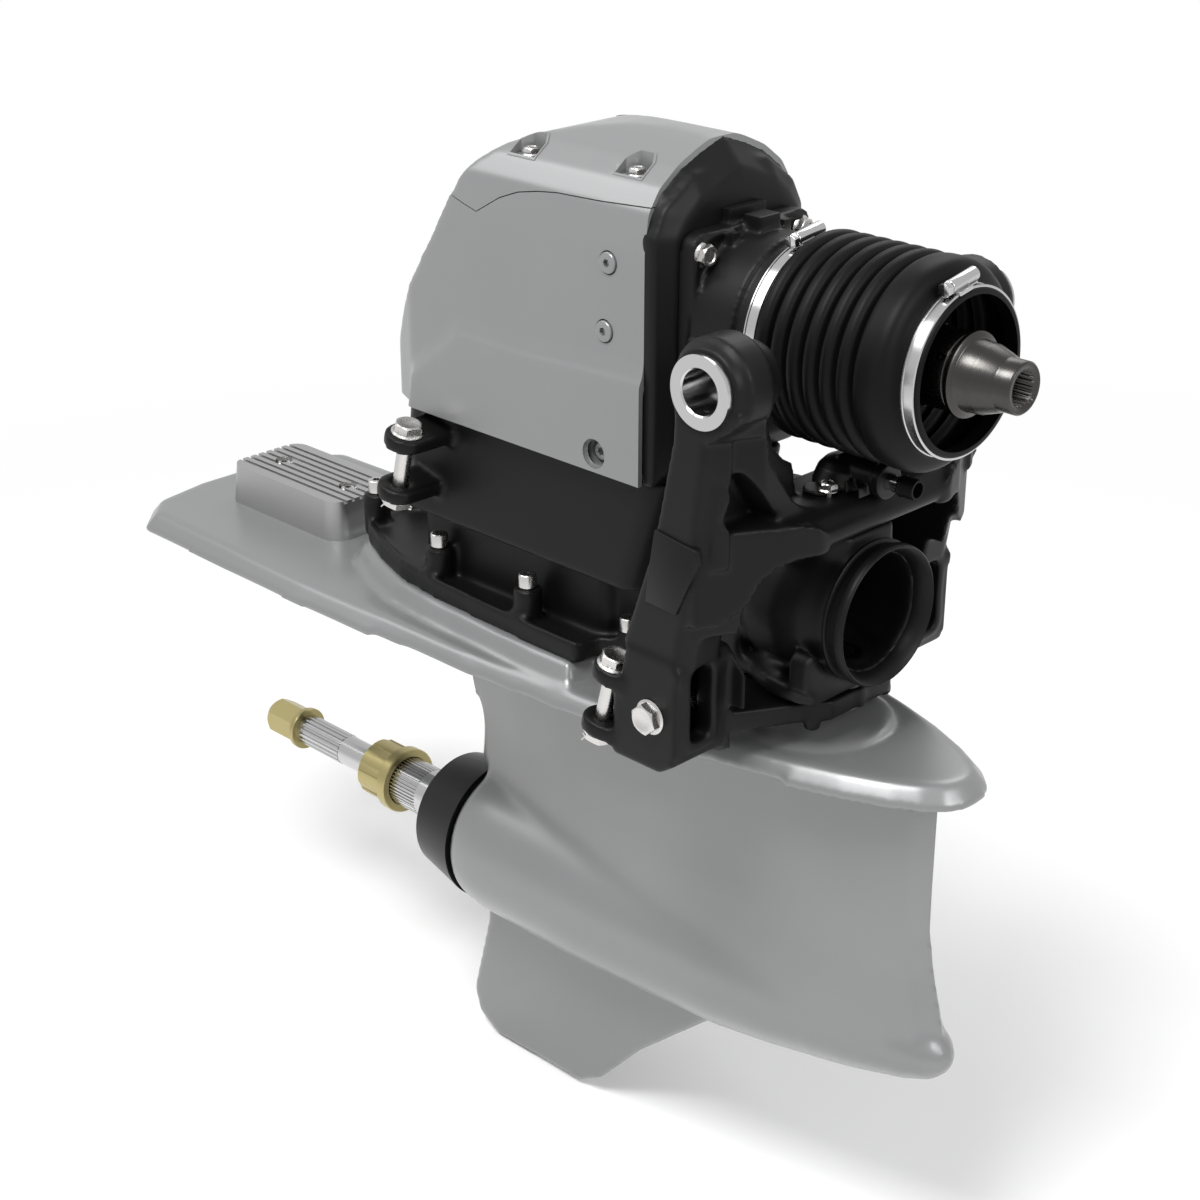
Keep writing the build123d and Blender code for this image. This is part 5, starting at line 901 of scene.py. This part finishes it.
# Cooling water elbow: a soft dome with a tube socket, two ears and short ribs.
# The tube and its hose end are (distance forward, radius); the dome is (z, radius).
elbow = {
    "voxel": 0.0009,
    "passes": 5,
    "dome": (
        (-0.1150, 0), (-0.1150, 0.0262), (-0.1110, 0.0262), (-0.1080, 0.0250), (-0.1010, 0.0222),
        (-0.0950, 0.0165), (-0.0915, 0.0090), (-0.0905, 0),
    ),
    "axisZ": -0.1035,
    "socket": ((0, 0.044, 0.0142), (0.036, 0.044, 0.0150)),  # from, to, radius
    "bore": (0.026, 0.05, 0.0071),
    "earY": 0.033,
    "earZ": (-0.115, -0.1110),
    "earRadius": 0.0125,
    "webHalf": 0.0105,
    "ribY": (0.010, 0.024),
    "ribs": ((0.018, 0.0205, -0.104), (0.031, 0.0335, -0.106)),  # from, to, top
    "ribBottom": -0.1145,
    "crest": ((-0.0012, -0.012, -0.112), (0.0012, 0.012, -0.0895)),
    "tube": ((0.026, 0.0052), (0.026, 0.0070), (0.0580, 0.0070), (0.0580, 0.0052)),
    "hose": (
        (0.0560, 0.0071), (0.0560, 0.0086), (0.0575, 0.0092), (0.0590, 0.0086), (0.0700, 0.0085),
        (0.0715, 0.0080), (0.0715, 0.0062), (0.0560, 0.0062),
    ),
}


def buildElbow(settings):
    body = turned(settings["dome"], (0, 0, 0), (0, 0, 1))
    z, half, reach = settings["axisZ"], settings["webHalf"], settings["earY"]
    low, high = settings["earZ"]
    parts = [rod((start, 0, z), (end, 0, z), radius) for start, end, radius in settings["socket"]]
    for side in (-1, 1):
        parts.append(rod((0, side * reach, low), (0, side * reach, high), settings["earRadius"]))
        inner, outer = span(side, 0, reach)
        parts.append(box((-half, inner, low), (half, outer, high)))
        inner, outer = span(side, *settings["ribY"])
        for start, end, top in settings["ribs"]:
            parts.append(box((start, inner, settings["ribBottom"]), (end, outer, top)))
    parts.append(box(*settings["crest"]))
    fuse(body, *parts)
    modify(body, "REMESH", mode="VOXEL", voxel_size=settings["voxel"])
    smoothed(body, settings["passes"])
    start, end, radius = settings["bore"]
    return cut(body, rod((start, 0, z), (end, 0, z), radius))


elbowAxis = (0, 0, elbow["axisZ"])
finish(buildElbow(elbow), "elbow_moulding", "black_plastic", "suspension_fork", "water_elbow", angle=50)
tube = turned(elbow["tube"], elbowAxis, steps=64)
finish(tube, "elbow_tube", "polished_steel", "suspension_fork", "water_tube")
hose = turned(elbow["hose"], elbowAxis, steps=64)
finish(hose, "elbow_hose_end", "bellows_rubber", "suspension_fork", angle=40)
print("elbow made")


# Drive-shaft bellows: two rubber halves that meet in a groove on the trim axis.
# Its outline is (distance forward, radius); a wave is measured from its crest.
bellows = {
    "firstCrest": -0.025,
    "pitch": 0.016,
    "crests": 6,
    "wave": (
        (-0.0080, 0.0750), (-0.0069, 0.0765), (-0.0060, 0.0787), (-0.0046, 0.0808), (-0.0026, 0.0824),
        (0.0, 0.0829), (0.0026, 0.0824), (0.0046, 0.0808), (0.0060, 0.0787), (0.0069, 0.0765),
    ),
    "firstWaveFrom": -0.0065,
    "back": ((-0.0500, 0.0708), (-0.0495, 0.0715), (-0.0372, 0.0715), (-0.0352, 0.0722), (-0.0340, 0.0736)),
    "front": (
        (0.0630, 0.0750), (0.0642, 0.0766), (0.0652, 0.0789), (0.0668, 0.0811), (0.0692, 0.0825),
        (0.0725, 0.0830), (0.0790, 0.0831), (0.0835, 0.0829), (0.0875, 0.0819), (0.0905, 0.0800),
        (0.0930, 0.0770), (0.0947, 0.0732), (0.0957, 0.0695), (0.0966, 0.0667), (0.0980, 0.0650),
        (0.1000, 0.0645), (0.1105, 0.0645), (0.1116, 0.0641), (0.1120, 0.0632),
    ),
    "wall": 0.0032,
    "splitGroove": 2,
}


def buildBellows(settings):
    outer = list(settings["back"])
    split = 0
    for index in range(settings["crests"]):
        crest = settings["firstCrest"] + index * settings["pitch"]
        if index == settings["splitGroove"]:
            split = len(outer)
        for ahead, radius in settings["wave"]:
            if index or ahead > settings["firstWaveFrom"]:
                outer.append((crest + ahead, radius))
    outer += settings["front"]
    inner = [(x, radius - settings["wall"]) for x, radius in outer]
    aft = turned(outer[: split + 1] + inner[split::-1], steps=128)
    fore = turned(outer[split:] + inner[: split - 1 : -1], steps=128)
    return fore, aft


foreBellows, aftBellows = buildBellows(bellows)
for piece, name in ((foreBellows, "bellows_fore_half"), (aftBellows, "bellows_aft_half")):
    piece.name = name
    piece.data.materials.append(materials["bellows_rubber"])
    pick(piece)
    bpy.ops.object.shade_smooth_by_angle(angle=math.radians(60))
    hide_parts("bellows")
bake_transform(foreBellows)
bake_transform(aftBellows)
print("bellows made")


# Band clamps: polished band, worm housing and its hexagon screw.
# Heights are measured from the band's top, or from the worm's axis.
clamp = {
    "width": 0.0115,
    "thickness": 0.0011,
    "beadHeight": 0.0007,
    "beadWidth": 0.0016,
    "beadSlope": 0.0004,
    "saddle": ((-0.0078, -0.0072, -0.001), (0.0078, 0.0085, 0.0022)),
    "wormRise": 0.0012,
    "wormRadius": 0.0046,
    "shellWall": 0.0009,
    "shellY": (-0.0105, 0.0200),
    "bevel": 0.0006,
    "hexRadius": 0.0060,
    "hexY": (-0.0165, -0.0110),
    "hexBevel": 0.0005,
    "driverSlot": ((-0.0006, -0.0170), (0.0006, -0.0150)),
    "neckY": (-0.0120, -0.010),
    "neckRadius": 0.0028,
    "tail": ((0.0085, -0.0004, 0.0036), (0.0145, -0.0008, 0.0030)),  # y, height, radius
    "stripInset": 0.0015,
    "stripY": (0.0080, 0.0185),
    "stripHeights": (-0.0002, 0.0010),
    "stripBevel": 0.0003,
}


def clampBand(settings, radius):
    half, top = settings["width"] / 2, radius + settings["thickness"]
    bead, edge, slope = top + settings["beadHeight"], settings["beadWidth"], settings["beadSlope"]
    back = [
        (-half, radius), (-half, top), (-half + slope, bead), (-half + edge, bead), (-half + edge + slope, top),
    ]
    return turned(back + [(-x, height) for x, height in reversed(back)], steps=160)


def clampScrew(settings, worm):
    def lying(places, radius, sides):
        start, end = places
        return rod((0, start, worm), (0, end, worm), radius, sides=sides)

    shell = lying(settings["shellY"], settings["wormRadius"] + settings["shellWall"], 40)
    head = rounded(lying(settings["hexY"], settings["hexRadius"], 6), settings["hexBevel"])
    (left, back), (right, front) = settings["driverSlot"]
    cut(head, box((left, back, -far), (right, front, far)))
    neck = lying(settings["neckY"], settings["neckRadius"], 32)
    (startY, startRise, startRadius), (endY, endRise, endRadius) = settings["tail"]
    tail = rod((0, startY, worm + startRise), (0, endY, worm + endRise), startRadius, endRadius, sides=32)
    return rounded(shell, settings["bevel"]), head, neck, rounded(tail, settings["bevel"])


def buildClamp(middleX, radius, turn, name, body, node):
    top = radius + clamp["thickness"]
    (backX, rightY, low), (frontX, leftY, high) = clamp["saddle"]
    saddle = rounded(box((backX, rightY, top + low), (frontX, leftY, top + high)), clamp["bevel"])
    screw = clampScrew(clamp, top + clamp["wormRise"] + clamp["wormRadius"])
    reach = clamp["width"] / 2 - clamp["stripInset"]
    (startY, endY), (low, high) = clamp["stripY"], clamp["stripHeights"]
    strip = rounded(box((-reach, startY, top + low), (reach, endY, top + high)), clamp["stripBevel"])
    whole = merged(name, clampBand(clamp, radius), saddle, *screw, strip)
    whole.data.transform(Matrix.Translation((middleX, 0, 0)) @ Matrix.Rotation(turn, 4, "X"))
    return finish(whole, name, "polished_steel", body, node, angle=30)


buildClamp(-0.0425, 0.0718, math.radians(8), "clamp_aft_band", "drive", "bellows_clamp_aft")
buildClamp(0.1045, 0.0648, math.radians(10), "clamp_front_band", "transom_side", "bellows_clamp_front")
print("clamps made")


# Fasteners: each kind is modelled once, along +X with its seat at the origin, and copied.
# Heads are shares of the shank's radius; the rest are lengths.
heads = {
    "flange": 2.1,
    "flats": 1.62,
    "height": 1.15,
    "washerEdge": 0.0003,
    "washerFlat": 0.0010,
    "washerTop": 0.0022,
    "washerShoulder": 1.12,
    "raise": 0.0018,
    "chamfer": 0.0016,
    "dish": 0.0007,
    "face": 0.93,
    "dishRim": 0.72,
    "dishFloor": 0.60,
    "endChamfer": 0.0008,
}
nutSizes = {
    "height": 0.0085,
    "chamfer": 0.0014,
    "face": 0.92,
    "tipOut": 0.0040,
    "pinOut": 0.0018,
    "pinRadius": 0.0010,
    "pinEnds": (-0.0045, 0.003),  # beyond the shank, at the legs and at the eye
    "eyeOut": 0.0052,
    "eye": ((-0.0009, 0.0016), (-0.0009, 0.0030), (0.0009, 0.0030), (0.0009, 0.0016)),
    "legs": ((0, -0.0040, 0), (0.0035, -0.0068, 0.0006)),
    "legRadii": (0.0009, 0.0006),
}


def hexSizes(shank):
    flats = heads["flats"] * shank
    return heads["flange"] * shank, flats, flats / math.cos(math.radians(30))


def flangeWasher(flange, flats, bore):
    edge, flat, top = heads["washerEdge"], heads["washerFlat"], heads["washerTop"]
    shoulder = flats * heads["washerShoulder"]
    return turned(
        ((0, bore), (0, flange - edge), (edge, flange), (flat, flange), (top, shoulder), (top, bore)), steps=64,
    )


# Hexagon flange bolt head for a shank radius; the shank runs back from the seat
def hexBolt(shank, reach, height=None):
    flange, flats, corner = hexSizes(shank)
    top = heads["raise"] + (height or heads["height"] * shank)
    head = rod((heads["washerFlat"], 0, 0), (top, 0, 0), corner, sides=6)
    slope, floor = top - heads["chamfer"], top - heads["dish"]
    crown = turned(
        (
            (0, 0), (0, 2 * corner), (slope, 2 * corner), (slope, corner), (top, flats * heads["face"]),
            (top, flats * heads["dishRim"]), (floor, flats * heads["dishFloor"]), (floor, 0),
        ),
        steps=64,
    )
    combine(head, crown, "INTERSECT")
    edge = heads["endChamfer"]
    stem = turned(
        ((-reach, 0), (-reach, shank - edge), (-reach + edge, shank), (0, shank), (0, 0)), steps=40,
    )
    return merged("hex_bolt", flangeWasher(flange, flats, 0), head, stem)


# Split pin across a bolt's end: a rod, its eye and two bent legs
def splitPin(shank, middle):
    (legOut, eyeOut), (thick, thin) = nutSizes["pinEnds"], nutSizes["legRadii"]
    pin = rod((middle, legOut - shank, 0), (middle, shank + eyeOut, 0), nutSizes["pinRadius"], sides=16)
    eye = turned(nutSizes["eye"], (middle, shank + nutSizes["eyeOut"], 0), steps=32)
    legs = []
    for bend in (-1, 1):
        start, end = (
            (middle + bend * out, across - shank, bend * rise) for out, across, rise in nutSizes["legs"]
        )
        legs.append(rod(start, end, thick, thin, sides=16))
    return pin, eye, *legs


# Hexagon nut with a flange, the bolt's end showing through it and a split pin across
def lockedNut(shank):
    flange, flats, corner = hexSizes(shank)
    height = nutSizes["height"]
    body = rod((heads["washerFlat"], 0, 0), (height, 0, 0), corner, sides=6)
    crown = turned(
        (
            (0, 0), (0, 1.2 * corner), (height - nutSizes["chamfer"], 1.2 * corner),
            (height, flats * nutSizes["face"]), (height, 0),
        ),
        steps=64,
    )
    combine(body, crown, "INTERSECT")
    start, tip = height - 0.002, height + nutSizes["tipOut"]
    end = turned(
        ((start, 0), (start, shank - 0.0004), (tip - 0.001, shank - 0.0004), (tip, shank - 0.0014), (tip, 0)),
        steps=40,
    )
    pin = splitPin(shank, height + nutSizes["pinOut"])
    return merged("locked_nut", flangeWasher(flange, flats, shank), body, end, *pin)


# Cap screw with a six-lobed socket
def capScrew(head, height, reach):
    body = turned(
        (
            (0, 0), (0, head - 0.0004), (0.0004, head), (height - 0.0018, head), (height - 0.0009, head - 0.0003),
            (height - 0.0002, head - 0.0011), (height, head - 0.0020), (height, 0),
        ),
        steps=64,
    )
    lobes, sides = [], 48
    for index in range(sides):
        angle = 2 * math.pi * index / sides
        radius = head * (0.44 + 0.075 * math.cos(6 * angle))
        lobes.append((radius * math.cos(angle), radius * math.sin(angle)))
    cut(body, slab(lobes, "X", height * 0.45, far))
    return merged("cap_screw", body, rod((-reach, 0, 0), (0.0002, 0, 0), head * 0.55, sides=32))


# Copies of one fastener, each at its place, direction and turn, become one piece
def copies(source, places, name, finishName, body, *nodes):
    pieces = [placed(source, along(direction, place, turn), name) for place, direction, turn in places]
    whole = finish(merged(name, *pieces), name, finishName, body, *nodes, angle=28)
    drop(source)
    return whole


# Steering ram pins lean forward with the plate; trim ram pins run across the feet
ramPins = {
    "lean": math.radians(14),
    "shank": 0.007,
    "reach": 0.033,
    "front": (-0.101, 0.165, -0.283),
    "rear": (-0.403, 0.119, -0.176),
    "trim": (-0.045, -0.278),
    "trimOuterY": 0.174,
    "trimInnerY": 0.110,
}
pinBolt = hexBolt(ramPins["shank"], 2 * ramPins["reach"])
trimBolt = hexBolt(ramPins["shank"], ramPins["trimOuterY"] - ramPins["trimInnerY"])
pinNut = lockedNut(ramPins["shank"])


def steeringPins(middle, name, body):
    axis = Vector((math.sin(ramPins["lean"]), 0, math.cos(ramPins["lean"])))
    pieces = []
    for side in (-1, 1):
        x, y, z = middle
        place = Vector((x, side * y, z))
        pieces.append(placed(pinBolt, along(axis, place + axis * ramPins["reach"], 0.25), name))
        pieces.append(placed(pinNut, along(-axis, place - axis * ramPins["reach"], 0.8), name))
    finish(merged(name, *pieces), name + "_set", "zinc_steel", body, name, angle=28)


def trimPins(name):
    x, z = ramPins["trim"]
    pieces = []
    for side in (-1, 1):
        outside, inside = (x, side * ramPins["trimOuterY"], z), (x, side * ramPins["trimInnerY"], z)
        pieces.append(placed(trimBolt, along((0, side, 0), outside, 0.2), name))
        pieces.append(placed(pinNut, along((0, -side, 0), inside, 1.2), name))
    finish(merged(name, *pieces), name + "_set", "zinc_steel", "suspension_fork", name, angle=28)


steeringPins(ramPins["front"], "front_steering_pins", "suspension_fork")
steeringPins(ramPins["rear"], "rear_steering_pins", "drive")
trimPins("trim_ram_pins")
drop(pinBolt, pinNut, trimBolt)

boltSpots = {
    "cover": [(-0.104, y, z) for y in (-0.058, 0.058) for z in (-0.060, 0.060)],
    "elbow": [(0.010, y, -0.111) for y in (-0.033, 0.033)],
    "pocket": [(x, side * y, z) for x, y, z in pocket["spots"] for side in (-1, 1)],
    "flange": [
        (x, side * y, z)
        for x, y, z in (
            (-0.554, 0.028, -0.268), (-0.408, 0.075, -0.268), (-0.283, 0.082, -0.268), (-0.180, 0.060, -0.284),
        )
        for side in (-1, 1)
    ],
    "cap": [(x, 0, -0.301) for x in (-0.7385, -0.6345)],
}
ahead, up = (1, 0, 0), (0, 0, 1)
copies(
    hexBolt(0.0050, 0.018, 0.0062),
    [(spot, ahead, 0.3 * spot[1] / 0.058 + spot[2]) for spot in boltSpots["cover"]],
    "cover_bolts", "zinc_steel", "drive", "housing_bolts",
)
copies(
    hexBolt(0.004, 0.018, 0.0052), [(spot, up, 0.4) for spot in boltSpots["elbow"]],
    "elbow_bolts", "zinc_steel", "suspension_fork", "water_elbow_bolts",
)
copies(
    hexBolt(0.004, 0.018, 0.0052), [(spot, up, 0.2) for spot in boltSpots["pocket"]],
    "pocket_bolts", "zinc_steel", "drive", "top_cover_bolts",
)
copies(
    capScrew(0.008, 0.0125, 0.044), [(spot, up, spot[0] * 7) for spot in boltSpots["flange"]],
    "flange_screws", "zinc_steel", "drive", "flange_cap_screws",
)
copies(
    capScrew(0.0075, 0.008, 0.028), [(spot, up, spot[0] * 5) for spot in boltSpots["cap"]],
    "cap_retainers", "zinc_steel", "drive", "plate_cap_screws",
)


# Low round screw of the side covers, with a hexagon socket around a small post
def coverScrew():
    body = turned(
        ((-0.0052, 0), (-0.0052, 0.0088), (0.0012, 0.0088), (0.0019, 0.0082), (0.0023, 0.0070), (0.0023, 0)),
        steps=64,
    )
    cut(body, rod((-0.0014, 0, 0), (0.004, 0, 0), 0.0036, sides=6))
    return merged("cover_screw", body, rod((-0.0024, 0, 0), (-0.0002, 0, 0), 0.0013, sides=20))


def sideCoverScrews(settings):
    flushScrew, deepScrew = coverScrew(), capScrew(0.0080, 0.0065, 0.008)
    pieces = []
    for side in (-1, 1):
        out, face = (0, side, 0), settings["faceY"]
        for x, z in settings["flush"]:
            pieces.append(placed(flushScrew, along(out, (x, side * face, z), z * 9), "screw"))
        x, z = settings["deep"]
        seat = side * (face - settings["deepSeat"])
        pieces.append(placed(deepScrew, along(out, (x, seat, z), 0.3), "screw"))
    finish(merged("screw", *pieces), "side_cover_screw_set", "silver_screw", "drive", "side_cover_screws", angle=28)
    drop(flushScrew, deepScrew)


sideCoverScrews(sideScrews)
print("fasteners made")


# Input sleeve: ears of the joint yoke from the frame, with the turned sleeve on them
sleeve = {
    "profile": (
        (0.0790, 0), (0.0790, 0.0285), (0.0800, 0.0305), (0.0815, 0.0310), (0.1080, 0.0310), (0.1090, 0.0304),
        (0.1096, 0.0296), (0.1102, 0.0296), (0.1108, 0.0322), (0.1118, 0.0332), (0.1150, 0.0332),
        (0.1160, 0.0324), (0.1166, 0.0290), (0.1178, 0.0276), (0.1300, 0.0270), (0.1318, 0.0262),
        (0.1450, 0.0218), (0.1462, 0.0210), (0.1475, 0.0205), (0.1596, 0.0205), (0.1610, 0.0192),
        (0.1610, 0.0158), (0.1592, 0.0143), (0.1592, 0),
    ),
    "earsX": (0, 0.081),
    "teeth": 20,
    "boreInner": 0.0128,
    "boreOuter": 0.0143,
    "boreEnd": 0.112,
    "slots": 3,
    "slot": ((0.098, -0.0022, 0.024), (0.1062, 0.0022, 0.036)),
    "slotBevel": 0.0008,
    "slotTurn": 55,
}


# Spline outline with flat crests and roots
def toothed(inner, outer, teeth, share=0.5):
    points = []
    for index in range(teeth):
        for step, radius in (
            (0.0, inner), (share * 0.72, inner), (share, outer), (share + (1 - share) * 0.72, outer),
        ):
            angle = 2 * math.pi * (index + step) / teeth
            points.append((radius * math.cos(angle), radius * math.sin(angle)))
    return points


def buildSleeve(settings):
    (low, high), ears = settings["earsX"], cadCopy("input_sleeve")
    combine(ears, box((low, -far, -far), (high, far, far)), "INTERSECT", solver="EXACT")
    body = turned(settings["profile"], steps=128)
    bore = toothed(settings["boreInner"], settings["boreOuter"], settings["teeth"])
    cut(body, slab(bore, "X", settings["boreEnd"], far))
    for index in range(settings["slots"]):
        slot = rounded(box(*settings["slot"]), settings["slotBevel"])
        turn = math.radians(settings["slotTurn"] + 360 / settings["slots"] * index)
        slot.data.transform(Matrix.Rotation(turn, 4, "X"))
        cut(body, slot)
    return merged("input_sleeve_turned", body, ears)


finish(buildSleeve(sleeve), "input_sleeve_turned", "dark_steel", "input_shaft", "input_sleeve", angle=28)

# Propeller shafts with their splines, then the bronze collar and nut on them.
# Profiles are (distance along the shaft, radius).
propeller = {
    "z": -0.600,
    "innerTip": ((-0.760, 0), (-0.760, 0.0145), (-0.7585, 0.0160), (-0.720, 0.0160), (-0.720, 0)),
    "innerNeck": ((-0.7205, 0), (-0.7205, 0.0150), (-0.654, 0.0150), (-0.654, 0)),
    "innerSpline": (0.0149, 0.0166, 18),
    "innerSplineX": (-0.719, -0.655),
    "innerBody": ((-0.6555, 0), (-0.6555, 0.0150), (-0.6540, 0.0160), (-0.2000, 0.0160), (-0.2000, 0)),
    "outerSpline": (0.0246, 0.0262, 44),
    "outerSplineX": (-0.606, -0.519),
    "outerEnds": (
        (-0.606, 0), (-0.606, 0.0248), (-0.6045, 0.0265), (-0.5205, 0.0265), (-0.519, 0.0250), (-0.519, 0),
    ),
    "outerBore": 0.019,
    "collar": (
        (-0.604, 0.0268), (-0.604, 0.0292), (-0.6028, 0.0305), (-0.5700, 0.0305), (-0.5692, 0.0315),
        (-0.5688, 0.0340), (-0.5678, 0.0347), (-0.5580, 0.0347), (-0.5570, 0.0337), (-0.5570, 0.0268),
    ),
    "notches": 8,
    "notch": ((-0.612, -0.0045, 0.0292), (-0.5705, 0.0045, 0.04)),
    "notchBevel": 0.0008,
    "nutFlats": 0.018,
    "nutX": (-0.7755, -0.7308),
    "nutEnds": ((-0.80, 0), (-0.7755, 0.0170), (-0.7725, 0.0190), (-0.7690, 0.0212), (-0.70, 0.0212), (-0.70, 0)),
    "nutDome": (
        (-0.782, 0), (-0.7820, 0.0085), (-0.7810, 0.0115), (-0.7790, 0.0140), (-0.7752, 0.0158), (-0.7740, 0),
    ),
    "nutFlange": (
        (-0.7315, 0), (-0.7315, 0.0200), (-0.7300, 0.0226), (-0.7290, 0.0230), (-0.7250, 0.0230),
        (-0.7240, 0.0222), (-0.7240, 0),
    ),
    "nutBore": ((-0.7595, 0), (-0.7595, 0.0162), (-0.7, 0.0162), (-0.7, 0)),
}


def alongPropeller(piece):
    piece.data.transform(Matrix.Translation((0, 0, propeller["z"])))
    return piece


def buildInnerShaft(settings):
    spline = slab(toothed(*settings["innerSpline"]), "X", *settings["innerSplineX"])
    tip, neck, body = (turned(settings[part], steps=64) for part in ("innerTip", "innerNeck", "innerBody"))
    return alongPropeller(merged("inner_shaft", tip, neck, spline, body))


def buildOuterShaft(settings):
    backX, frontX = settings["outerSplineX"]
    plain = cadCopy("outer_propeller_shaft")
    combine(plain, box((frontX, -far, -far), (far, far, far)), "INTERSECT", solver="EXACT")
    spline = slab(toothed(*settings["outerSpline"]), "X", backX, frontX)
    cut(spline, rod((-far, 0, 0), (far, 0, 0), settings["outerBore"]))
    combine(spline, turned(settings["outerEnds"], steps=64), "INTERSECT")
    return merged("outer_shaft", plain, alongPropeller(spline))


# Slotted collar on the outer shaft
def buildCollar(settings):
    piece = turned(settings["collar"], steps=128)
    for index in range(settings["notches"]):
        notch = rounded(box(*settings["notch"]), settings["notchBevel"])
        notch.data.transform(Matrix.Rotation(2 * math.pi * (index + 0.5) / settings["notches"], 4, "X"))
        cut(piece, notch)
    return alongPropeller(piece)


# Long hexagon nut with a domed end on the inner shaft
def buildNut(settings):
    backX, frontX = settings["nutX"]
    corner = settings["nutFlats"] / math.cos(math.radians(30))
    piece = rod((backX, 0, 0), (frontX, 0, 0), corner, sides=6)
    combine(piece, turned(settings["nutEnds"]), "INTERSECT")
    fuse(piece, turned(settings["nutDome"]), turned(settings["nutFlange"]))
    return alongPropeller(cut(piece, turned(settings["nutBore"], steps=64)))


for build, name, finishName, body, node in (
    (buildInnerShaft, "inner_shaft_turned", "polished_steel", "inner_propeller_shaft", "inner_propeller_shaft"),
    (buildOuterShaft, "outer_shaft_splined", "polished_steel", "outer_propeller_shaft", "outer_propeller_shaft"),
    (buildCollar, "bronze_collar", "bronze", "outer_propeller_shaft", "shaft_collar"),
    (buildNut, "bronze_nut", "bronze", "inner_propeller_shaft", "propeller_nut"),
):
    finish(build(propeller), name, finishName, body, node, angle=28)
print("shafts made")


# Floor, backdrop and lights
studio = {
    "floorSize": 40.0,
    "floorColour": 0.97,
    "fadeStart": 1.0,
    "fadeEnd": 2.6,
    "worldLight": 0.45,
    "lamps": (  # place, target, size, watts
        ((0.1, -1.5, 2.3), (-0.3, 0, -0.2), 1.1, 75),
        ((2.4, -0.2, 1.4), (-0.2, 0, -0.2), 1.2, 34),
        ((-1.8, -1.2, 1.8), (-0.3, 0, -0.2), 1.4, 20),
        ((-1.0, 2.2, 2.2), (-0.3, 0, -0.1), 1.6, 24),
    ),
}


def setUpStudio(settings, floorHeight):
    bpy.ops.mesh.primitive_plane_add(size=settings["floorSize"], location=(0, 0, floorHeight))
    floor = bpy.context.object
    floor.name = "floor"
    paint = Paint("floor")
    spread = paint.node("ShaderNodeMapping", {}, {"Vector": paint.place(), "Scale": (1 / settings["fadeEnd"],) * 3})
    nearness = paint.node("ShaderNodeTexGradient", {"gradient_type": "SPHERICAL"}, {"Vector": spread}, 1)
    near = 1 - settings["fadeStart"] / settings["fadeEnd"]
    cast = {"stops": ((0.0, (0, 0, 0, 1)), (near, shade(settings["floorColour"])))}
    glow = {"stops": ((0.0, (1, 1, 1, 1)), (near, (0, 0, 0, 1)))}
    paint.set(
        Base_Color=paint.node("ShaderNodeValToRGB", cast, {"Fac": nearness}),
        Emission_Color=paint.node("ShaderNodeValToRGB", glow, {"Fac": nearness}),
    )
    paint.set(Emission_Strength=1.0, Roughness=0.8, Specular_IOR_Level=0.0)
    floor.data.materials.append(paint.material)
    for place, target, size, watts in settings["lamps"]:
        aim = (Vector(target) - Vector(place)).to_track_quat("-Z", "Y").to_euler()
        bpy.ops.object.light_add(type="AREA", location=place, rotation=aim)
        lamp = bpy.context.object.data
        lamp.size = size
        lamp.energy = watts
    world = bpy.data.worlds.new("studio")
    bpy.context.scene.world = world
    world.use_nodes = True
    tree = world.node_tree
    back = tree.nodes["Background"]
    back.inputs["Color"].default_value = (1, 1, 1, 1)
    back.inputs["Strength"].default_value = settings["worldLight"]
    seen = tree.nodes.new("ShaderNodeBackground")
    seen.inputs["Strength"].default_value = 1.0
    path = tree.nodes.new("ShaderNodeLightPath")
    shown = path.outputs["Is Camera Ray"]
    for ray in ("Is Glossy Ray", "Is Transmission Ray"):
        either = tree.nodes.new("ShaderNodeMath")
        either.operation = "MAXIMUM"
        tree.links.new(shown, either.inputs[0])
        tree.links.new(path.outputs[ray], either.inputs[1])
        shown = either.outputs[0]
    blend = tree.nodes.new("ShaderNodeMixShader")
    tree.links.new(shown, blend.inputs[0])
    tree.links.new(back.outputs[0], blend.inputs[1])
    tree.links.new(seen.outputs[0], blend.inputs[2])
    tree.links.new(blend.outputs[0], tree.nodes["World Output"].inputs["Surface"])
    bpy.context.scene.view_settings.view_transform = "Standard"


setUpStudio(studio, cadBox[0][2] - 0.002)
print("studio ready")
